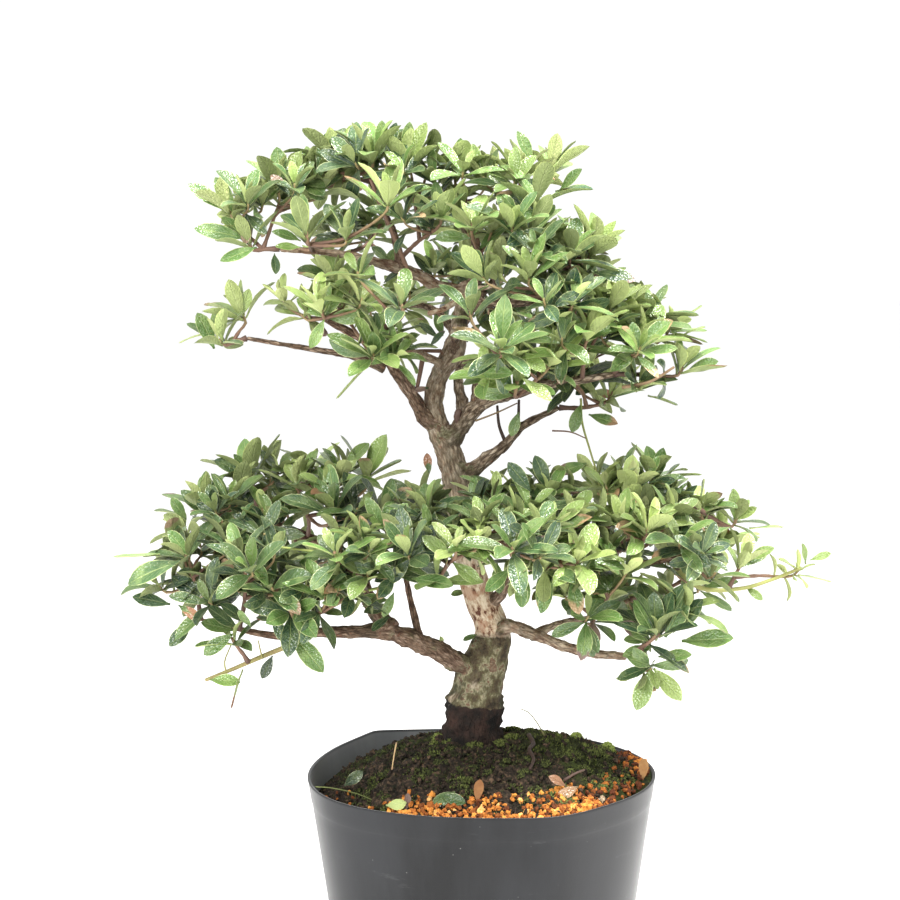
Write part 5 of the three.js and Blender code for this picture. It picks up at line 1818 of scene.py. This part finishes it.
class Moss:
    """Fine moss over the whole mound, with fuller tufts on its right and along its skyline."""

    sprays = 5300
    clumps = 85
    levels = (0.15, 0.6)  # where spikes stand on a tuft, as shares of its height
    third_turn = 2.0944  # in radians
    # Place in plan, spread and height of each full tuft.
    cushions: tuple[Shares, ...] = (
        (50, 26, 3.8, 6.5), (66, 20, 3.4, 7.5), (16, 24, 5, 3.2), (26, 26, 4, 2.6), (36, 28, 4, 2.4),
        (-23, 8, 3, 4.8), (-25, -6, 3, 3), (62, -34, 6, 2.6), (52, -44, 5, 2.2), (72, -26, 5, 2.4),
        (44, -20, 5.5, 2.2), (58, -6, 6, 2.4), (-32, -44, 5, 2), (-14, -52, 5, 1.9), (20, -46, 4, 1.8),
        (-52, -30, 5, 2), (-4, -16, 4.5, 2.6), (9, -14, 4, 2.6), (-17, -8, 4, 2.8), (15, -4, 4, 3),
    )

    def __init__(self, ground: Ground) -> None:
        """Takes the ground that it grows on."""
        self.ground, self.draws = ground, Draws(77)

    def _small_clumps(self) -> Iterator[Shares]:
        """Draws small clumps, fuller to the right.

        Returns:
            The place in plan, spread and height of each.
        """
        draws = self.draws
        for _ in range(self.clumps):
            turn, share = draws.between(-150, 60), math.sqrt(draws.between(0.06, 0.8))
            x, y, _ = self.ground.point(share, turn)
            yield (x, y, draws.between(1.6, 3.6), draws.between(1.1, 2.2) + 0.8 * smooth_step(0, 50, x))

    def _spray(self, draft: Draft, foot: Array, height: float, tone: float) -> None:
        """Adds a few tiny leaning spikes.

        Args:
            draft: The mesh that gets them.
            foot: Where they stand.
            height: How tall they are.
            tone: How light they are.
        """
        draws = self.draws
        for _ in range(draws.source.randint(3, 6)):
            lean = unit(UP + 0.8 * draws.direction())
            side = square_to(lean, draws.direction())
            wide = draws.between(0.22, 0.4)
            arms = [turned(side, lean, k * self.third_turn) for k in range(3)]
            corners = [foot + wide * arm + 0.25 * draws.direction() for arm in arms]
            tip = foot + lean * height * draws.between(0.6, 1.15)
            shade = (share_of(tone + draws.near(0, 0.15)), 0.5, 0, 0.5)
            draft.add(np.array([*corners, tip]), ((0, 1, 3), (1, 2, 3), (2, 0, 3), (2, 1, 0)), 0, shade)

    def build(self) -> None:
        """Builds the moss in place of its solid."""
        draft, draws = Draft(), self.draws
        for x, y, wide, height in (*self.cushions, *self._small_clumps()):
            for _ in range(int(5 * wide * height)):
                out, turn = wide * math.sqrt(draws.between(0, 1)), draws.between(0, 2 * math.pi)
                foot = self.ground.at(x + out * math.cos(turn), y + out * math.sin(turn))
                rise = height * (1 - 0.8 * (out / wide) ** 2)
                for level in self.levels:
                    tone = min(0.8, 0.02 + 0.13 * height) + 0.25 * level
                    self._spray(draft, foot + UP * (rise * level - 1.2), 1.5, tone)
        for _ in range(self.sprays):
            turn, share = draws.between(-180, 180), math.sqrt(draws.between(0.05, 0.86))
            foot = self.ground.point(share, turn) - UP * 1.0
            patch = rough(foot, 0.07, 2) + 0.35 * smooth_step(-90, -10, turn)
            patch -= 0.25 * smooth_step(0.8, 1.0, share)
            if patch >= draws.between(-0.8, 0.3):
                self._spray(draft, foot, draws.between(0.9, 2.4), 0.14 + 0.26 * patch)
        piece = draft.piece("moss_hairs", [MOSS_TUFT.material()], "moss")
        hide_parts("moss")


@dataclass(frozen=True)
class FallenLeaf:
    """A leaf that lies on the soil."""

    solid: str
    place: tuple[float, float]  # its middle in plan
    turn: float  # degrees it points to in plan
    rise: float  # degrees it leans up
    length: float
    half_width: float
    lift: float  # how far its middle is over the ground
    arch: float
    tone: Shares
    dry: bool = True  # the others lie with the under side up

    def build(self, ground: Ground, press: BladePress, dry_skin: Material) -> None:
        """Builds the leaf in place of its solid.

        Args:
            ground: What it lies on.
            press: Makes leaves.
            dry_skin: The finish of dry leaves.
        """
        a, b = math.radians(self.turn), math.radians(self.rise)
        ahead = vec(math.cos(a) * math.cos(b), math.sin(a) * math.cos(b), math.sin(b))
        face = square_to(ahead, vec(0, -0.8, 0.8)) * (1 if self.dry else -1)
        foot = ground.at(*self.place) + UP * self.lift - ahead * self.length / 2
        draft = Draft()
        press.press(draft, Blade(foot, ahead, face, self.length, self.half_width, self.tone, arch=self.arch))
        skins = [dry_skin] * 2 if self.dry else press.skins[:2]
        piece = draft.piece(f"{self.solid}_blade", skins, "dead_leaf" if self.dry else "young_leaf")
        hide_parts(self.solid)


FALLEN_LEAVES = (
    FallenLeaf("fallen_leaf_green", (-42, -66), 8, 4, 10, 3.0, 3.4, 0.15, (0.4, 0.85, 0, 0.4), dry=False),
    FallenLeaf("fallen_leaf_tan", (-3, -66), 76, 58, 12, 2.4, 3.6, 0.3, (0.33, 0.5, 0, 0.3)),
    FallenLeaf("fallen_leaf_dead", (80, -19), 76, 66, 12, 2.5, 5.6, 0.6, (0.52, 0.5, 0, 0.6)),
)


# ---- single leaves
class Look(Enum):
    """How a single leaf looks: age, brightness and dryness."""

    DARK = (0.08, 0.42, 0.0)
    GREEN = (0.38, 0.50, 0.0)
    GLOSSY = (0.15, 0.62, 0.0)
    BRIGHT = (0.68, 0.56, 0.0)
    YELLOW = (0.86, 0.56, 0.0)
    PALE = (0.62, 0.80, 0.0)
    DUSTY = (0.30, 0.72, 0.0)
    SCORCHED = (0.30, 0.55, 0.55)
    PURPLE = (0.05, 0.38, 0.35)
    BROWN = (0.30, 0.50, 0.85)
    DRY = (0.30, 0.45, 1.20)


@dataclass(frozen=True)
class LoneLeaf:
    """A single leaf: at the edge of the crown, or loose on the wood or the soil."""

    root: Array
    tip: Array
    look: Point  # age, brightness and dryness

    def blade(self, face: Array, half_width: float, draws: Draws, **more: float) -> Blade:
        """Gives the leaf.

        Args:
            face: The way its upper side should look.
            half_width: Half its width, as a share of its length.
            draws: Random draws.
            more: How far it bends and folds.

        Returns:
            The leaf.
        """
        run = self.tip - self.root
        ahead, length = unit(run), float(np.linalg.norm(run))
        tone = (*self.look, draws.between(0, 1))
        return Blade(self.root, ahead, square_to(ahead, face), length, length * half_width, tone, **more)


def edge_blade(row: str, draws: Draws) -> Blade:
    """Gives the leaf of an edge.

    Args:
        row: Its root, its tip and its look, and the word thin where it shows its edge to the front.
        draws: Random draws.

    Returns:
        The leaf.
    """
    words = row.split()
    root, tip = (vec(*map(float, words[k : k + 3])) for k in (0, 3))
    face = vec(draws.near(0, 0.3), -0.8, 0.6)
    if words[-1] == "thin":
        face = np.cross(unit(tip - root), vec(0, -1, 0)) * (1 if tip[0] < root[0] else -1)
    half_width, arch, fold = draws.between(0.185, 0.225), draws.near(0.15, 0.15), draws.between(0.15, 0.4)
    leaf = LoneLeaf(root, tip, Look[words[6].upper()].value)
    return leaf.blade(face, half_width, draws, arch=arch, fold=fold)


# Root, tip and look of each edge leaf; a thin one shows its edge to the front.
EDGE_LEAVES = """
-145 -54 265  -170 -60 257  glossy
-155 -50 268  -180 -50 266  pale thin
-150 -52 244  -167 -58 249  dark
-140 -52 235  -150 -58 225  dark
-120 -54 230  -134 -58 221  green
-92 -60 232  -76 -66 214  green
-116.4 -49 212  -122 -51 193  scorched thin
-101 -58 239  -93 -62 227  purple
-145 -60 245  -134 -62 238  brown
82 -46 227  72 -52 246  dusty
83 -46 228  80 -54 249  dark
85 -46 228  88 -54 250  dark
87 -46 227  96 -52 247  dusty
80 -46 225  65 -52 235  scorched
91 -44 229  105 -48 246  dark
-118 -50 232  -132 -58 244  dark
-120 -50 231  -135 -56 236  green
-124 -50 243  -136 -56 248  purple
-114 -52 235  -124 -60 246  dark
-112 -52 233  -116 -62 243  dusty
-45 -40 242  -58 -48 239  dark
-46 -40 244  -60 -46 246  green
-46 -40 236  -54 -48 231  dark
-88 -32 417  -101 -38 422  green
-88 -32 414  -100 -38 414  pale
-87 -32 418  -94 -36 426  green
83 -38 231  68 -44 239  dark
81 -38 225  67 -44 225  green
83 -40 230  75 -48 243  dark
82 -38 221  67 -44 218  dusty
130 -20 261  142 -26 268  bright
-46 16 407  -56 10 415  dark
-49 18 404  -44 12 414  green
-53 14 396  -59 8 405  dark
-50 14 397  -43 8 403  dark
-22 12 369  -32 8 377  dark
-20 14 370  -24 10 381  green
-15 16 368  -10 12 379  dark
-8 14 367  -2 8 376  dark
-27 10 365  -19 6 373  purple
13 14 340  2 8 345  dark
55 8 366  42 0 346  green
59 2 348  46 -4 342  dark
37 10 351  28 4 341  dark
32 12 352  39 8 362  dark
24 12 352  20 8 363  dark
-5 -70 355  12 -78 356  green
18 -68 365  27 -78 356  bright
17 -72 353  30 -80 343  yellow
-43 -60 251  -48 -64 240  green
-59 8 298  -69 4 322  green thin
-59 8 298  -48 4 321  bright
-59 8 298  -41 2 309  green thin
-117 -2 300  -133 -8 310  dark
-111 0 306  -103 -4 323  green thin
-152 10 279  -166 6 284  green thin
-137 -20 290  -136 -22 305  green
17 -60 259  17 -66 245  dusty
32 -60 257  26 -66 242  dusty
41 -60 257  44 -68 242  scorched
11 -80 265  0 -90 257  dusty
95 -46 225  119 -54 228  green
84 -44 217  99 -52 220  green
81 -42 211  73 -50 192  bright
82 -42 211  95 -50 197  yellow
81 -42 212  64 -48 207  dark
81 -42 212  69 -50 218  green
134 0 274  151 -4 276  pale thin
130 -20 247  137 -26 242  bright
162 -16 260  172 -18 264  bright
160 -16 258  157 -20 269  bright
156 -16 253  173 -18 250  yellow thin
156 -16 255  146 -22 263  yellow thin
51 -14 308  36 -18 304  scorched
22 -50 298  11 -50 312  dark
31 -34 297  25 -34 314  dark
-34 -80 261  -15 -88 259  dusty
52 -30 233  56 -34 221  dry
-126 -22 432  -143 -22 445  dusty
-115 -32 418  -138 -38 424  dusty
-109 -34 414  -126 -40 407  dusty
-132 -26 373  -149 -26 370  pale thin
-58 -50 356  -70 -54 342  dusty thin
-101 -30 411  -100 -34 401  dark
-39 -18 458  -35 -22 476  green
-36 -20 456  -28 -24 474  yellow
-46 -20 459  -43 -22 476  dark
-51 -20 457  -49 -22 475  green
24 -12 454  17 -14 471  green
13 -14 454  5 -14 467  green thin
36 2 457  45 0 468  green thin
34 -30 441  46 -38 442  brown thin
36 -30 441  46 -38 451  green
52 -44 402  71 -50 399  purple
97 -22 380  106 -24 386  pale thin
97 -24 372  107 -26 377  pale thin
98 -30 354  112 -36 360  green
79 -34 343  93 -40 339  dark thin
52 -12 332  66 -18 328  scorched
11 -66 355  -6 -76 355  bright
7 -84 371  8 -94 391  dusty
-131 -26 365  -138 -28 383  green
-119 -20 381  -123 -22 397  yellow
-118 -20 381  -114 -24 394  yellow
-121 -20 430  -130 -22 448  green
-98 -12 442  -101 -14 463  green
-97 -12 441  -89 -16 461  yellow
-81 -2 448  -76 -4 471  green
-69 -4 454  -64 -8 474  yellow
-13 -12 448  -11 -16 467  green
-141 -50 267  -150 -54 280  dusty
-145 -30 282  -151 -36 293  green
127 2 278  126 -2 294  bright
128 2 278  137 -4 285  yellow
88 10 297  83 6 315  green
88 10 297  91 6 314  green
111 14 287  113 10 298  green thin
"""


# ---- loose details
class LooseDetails:
    """Cut sticks, bare twigs, single leaves and sprouts that no shoot holds."""

    # Radius, youth, brightness and course of each loose twig.
    twigs: tuple[tuple[float, float, float, tuple[Point, ...]], ...] = (
        (1.35, 0.75, 0.42, ((-93, -38, 222), (-107, -42.4, 217), (-121, -46, 211.5), (-134, -48, 206.5))),
        (0.45, 0.8, 0.45, ((-124, -47, 209), (-125, -47, 215), (-122, -46, 223))),
        (0.45, 0.8, 0.45, ((-107, -44, 216), (-108, -44, 220), (-109, -44, 225))),
        (1.25, 0.85, 0.5,
         ((92, -29.5, 260), (106, -27, 248), (127, -23, 247), (143, -19.5, 251), (157, -16.5, 256))),
        (0.8, 0.95, 0.5, ((-57, -50, 269), (-68, -56, 269), (-83, -60, 271), (-97, -62, 273))),
        (0.8, 0.95, 0.5, ((-60, -46, 249), (-46, -56, 254), (-36, -62, 262), (-26, -66, 278))),
        (0.9, 0.5, 0.5, ((66, -40, 347), (79, -44, 350), (90, -46, 357))),
        (0.6, 0.9, 0.35, ((48, -14, 340), (49, -10, 328), (53, -10, 314), (57, -12, 300), (59, -16, 281))),
        (0.45, 0.35, 0.5, ((34, -12, 324), (43, -12, 323.4), (51, -10, 320))),
        (1.3, 0.2, 0.5, ((-30, -4, 360), (-32, -6, 349), (-34, -6, 340))),
        (0.34, 0.8, 0.05, ((30, -30, 175), (26, -31, 182), (22, -32, 187), (18, -33, 189))),
        (0.42, 0.55, 1.5, ((-43, -24, 170), (-44, -29, 165), (-45, -34, 159))),
        (0.32, 0.95, 0.0, ((-82, -40, 152), (-74, -46, 153), (-62, -52, 152), (-54, -56, 150))),
        (1.2, 0.05, 0.05,
         ((23, -12, 171), (25, -20, 168.5), (22.6, -28, 167.5), (24.4, -36, 165), (22.3, -45, 162))),
        (0.8, 0.1, 0.2, ((38, -58, 160), (44, -56, 163), (48, -54, 164))),
        (1.1, 0.3, 0.6, ((-37, -20, 403), (-46, -24, 425), (-55, -28, 447))),
        (1.0, 0.25, 0.5, ((-21, 0, 363), (-35, -6, 363), (-50, -12, 360))),
        (0.8, 0.15, 0.5, ((50, -4, 350), (53, -6, 358), (62, -8, 363))),
        (0.95, 0.0, 0.05, ((11, -4, 318), (8, -5, 326), (7, -6, 336))),
        (1.0, 0.0, 0.05, ((15, -4, 321), (17.3, -6, 329), (17.7, -8, 339))),
        (2.4, 0.0, 0.5, ((-11, -4, 327), (-13, -8, 331), (-12, -9, 334))),
        (0.5, 0.55, 0.25, ((-4, -14, 329), (6, -16, 333), (16.4, -18, 338))),
    )
    # Root, tip, and age, brightness and dryness of each leaf on the wood or the soil.
    leaves: tuple[tuple[Point, Point, Point], ...] = (
        ((-3, -7, 221), (-10, -9, 218.5), (0.3, 0.35, 0.0)), ((-8, 5, 241), (-16, 2, 240), (0.4, 0.45, 0.0)),
        ((-20, -10, 216), (-21, -12, 221), (0.95, 0.5, 0.0)),
        ((-132, -50, 207), (-117, -52, 207), (0.55, 0.78, 0.0)),
        ((-102, -46, 218), (-107, -48, 207), (0.05, 0.05, 0.0)),
        ((17.7, -8, 333), (13.7, -10, 321), (0.3, 0.55, 0.0)),
        ((48, -13, 337), (43.5, -18, 324), (0.45, 0.45, 0.0)),
        ((6, -44, 263), (7, -50, 249), (0.4, 0.5, 0.0)), ((19, -46, 259), (18, -50, 242), (0.5, 0.6, 0.0)),
        ((27, -46, 260), (29, -52, 240), (0.4, 0.5, 0.4)),
        ((-27, -8, 345), (-34, -10, 344), (0.1, 0.15, 1.0)),
        ((-27, -8, 302.6), (-28, -8, 312.6), (0.2, 0.3, 0.8)),
        ((39, -58, 157), (31, -61, 163), (0.3, 0.75, 1.2)), ((45, -58, 157), (34, -62, 152), (0.3, 0.0, 1.2)),
        ((51, -58, 146), (58, -54, 152), (0.3, 0.3, 1.2)),
        ((-38, -66, 147), (-36, -62, 155), (0.3, 0.15, 1.2)),
        ((-32, -50, 155), (-26, -46, 155), (0.3, 0.3, 1.2)),
        ((-21, -66, 155), (-9, -70, 152), (0.2, 0.25, 0.0)),
        ((-14, -64, 156), (-25, -70, 151), (0.3, 0.3, 0.0)),
        # painted shade: this leaf lies in shadow at the pot's front left and is drawn very dark
        ((-68, -42, 153), (-59, -46, 161), (0.05, 0.1, 0.0)),
    )

    def build(self, press: BladePress) -> None:
        """Builds the loose twigs and leaves.

        Args:
            press: Makes the leaves.
        """
        draft, draws = Draft(), Draws(5)
        for radius, youth, shade, points in self.twigs:
            course = Course(points, samples=10)
            tone = (youth, shade, 0.5, draws.between(0, 1))
            tube(draft, course, lambda s: radius * (1 - 0.35 * s), 8, 2.0, TWIG_SLOT, lambda s: tone)
        for root, tip, look in self.leaves:
            face, arch = vec(draws.near(0, 0.4), -0.9, 0.6), draws.near(0.3, 0.2)
            press.press(draft, LoneLeaf(vec(*root), vec(*tip), look).blade(face, 0.22, draws, arch=arch))
        for row in EDGE_LEAVES.strip().splitlines():
            press.press(draft, edge_blade(row, draws))
        draft.piece("loose_twigs_and_leaves", press.skins, "leaf")


# ---- studio
@dataclass
class Studio:
    """Camera, lights, pale floor and white surroundings."""

    eye: Point = (-16.5, -950.0, 397.0)
    pitch: float = 5.03  # how far the camera looks down, in degrees
    lens: float = 76.08
    sensor: float = 36.0
    far: float = 50.0  # how far the camera sees, in metres
    aim: Point = (0, 0, 0.3)  # what the lights look at, in metres
    room_light: float = 1.06
    floor_half: float = 40.0

    def camera(self) -> None:
        """Places the camera."""
        data = bpy.data.cameras.new("front_camera")
        data.lens = self.lens
        data.sensor_width = self.sensor
        data.clip_end = self.far
        camera = placed("front_camera", data)
        camera.location = Vector(self.eye) * MM
        camera.rotation_euler = (math.radians(90 - self.pitch), 0, 0)
        bpy.context.scene.camera = camera

    def _area(self, name: str, place: Point, wide: float, power: float, colour: Colour) -> None:
        """Adds a soft square light.

        Args:
            name: Its name.
            place: Where it hangs, in metres.
            wide: Its side, in metres.
            power: Its watts.
            colour: Its colour.
        """
        data = bpy.data.lights.new(name, "AREA")
        data.size = wide
        data.energy = power
        data.color = colour
        light = placed(name, data)
        light.location = place
        light.rotation_euler = (Vector(self.aim) - Vector(place)).to_track_quat("-Z", "Y").to_euler()

    def lights(self) -> None:
        """Adds the lights and the white surroundings."""
        world = bpy.data.worlds.new("white_room")
        world.use_nodes = True
        backdrop = world.node_tree.nodes["Background"]
        backdrop.inputs["Color"].default_value = (1.0, 1.0, 1.0, 1.0)
        backdrop.inputs["Strength"].default_value = self.room_light
        bpy.context.scene.world = world
        self._area("top_light", (0.42, -0.3, 1.5), 0.6, 46.0, (1.0, 0.98, 0.95))
        self._area("front_light", (-0.7, -1.3, 0.9), 0.7, 24.0, (1.0, 0.99, 0.97))

    def floor(self) -> None:
        """Adds the pale floor."""
        mesh = bpy.data.meshes.new("floor")
        half = self.floor_half
        places = [(-half, -half, 0), (half, -half, 0), (half, half, 0), (-half, half, 0)]
        mesh.from_pydata(places, [], [(0, 1, 2, 3)])
        sheet = Sheet("pale_floor")
        sheet.set(Base_Color=(0.96, 0.96, 0.96), Roughness=0.7)
        mesh.materials.append(sheet.material)
        placed("floor", mesh)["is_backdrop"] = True

    def build(self) -> None:
        """Sets the studio up."""
        self.camera()
        self.lights()
        self.floor()
        bpy.context.scene.view_settings.view_transform = "Standard"


def corners() -> list[list[float]]:
    """Gives the model's lowest and highest corner as plain lists."""
    return [list(corner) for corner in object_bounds()]


def main() -> None:
    """Builds the tree, its pot and the studio, keeping the leaves inside the bounds the model has at the
    start.
    """
    logging.basicConfig(level=logging.INFO, format="%(message)s")
    before = corners()
    low, high = (np.array(corner) / MM for corner in before)
    press = BladePress(low, high, [LEAF_TOP.material(), LEAF_UNDER.material(), TwigFinish().material()])
    pot = Pot()
    ground = Ground(pot)
    wood = Wood()
    pot.build()
    ground.build()
    Moss(ground).build()
    Grit(ground).build()
    dry_skin = DRY_LEAF.material()
    for leaf in FALLEN_LEAVES:
        leaf.build(ground, press, dry_skin)
    wood.build()
    taken = [vec(*heart) for shoots in SHOOTS.values() for shoot in shoots for heart in shoot]
    shoots = [(f"{side}_{k}", hearts) for side, rows in SHOOTS.items() for k, hearts in enumerate(rows, 1)]
    for number, (label, hearts) in enumerate(shoots, start=1):
        LeafyShoot(label, hearts, wood, taken, Draws(1000 + number)).build(press)
    LooseDetails().build(press)
    Studio().build()
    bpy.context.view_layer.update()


if __name__ == "__main__":
    main()
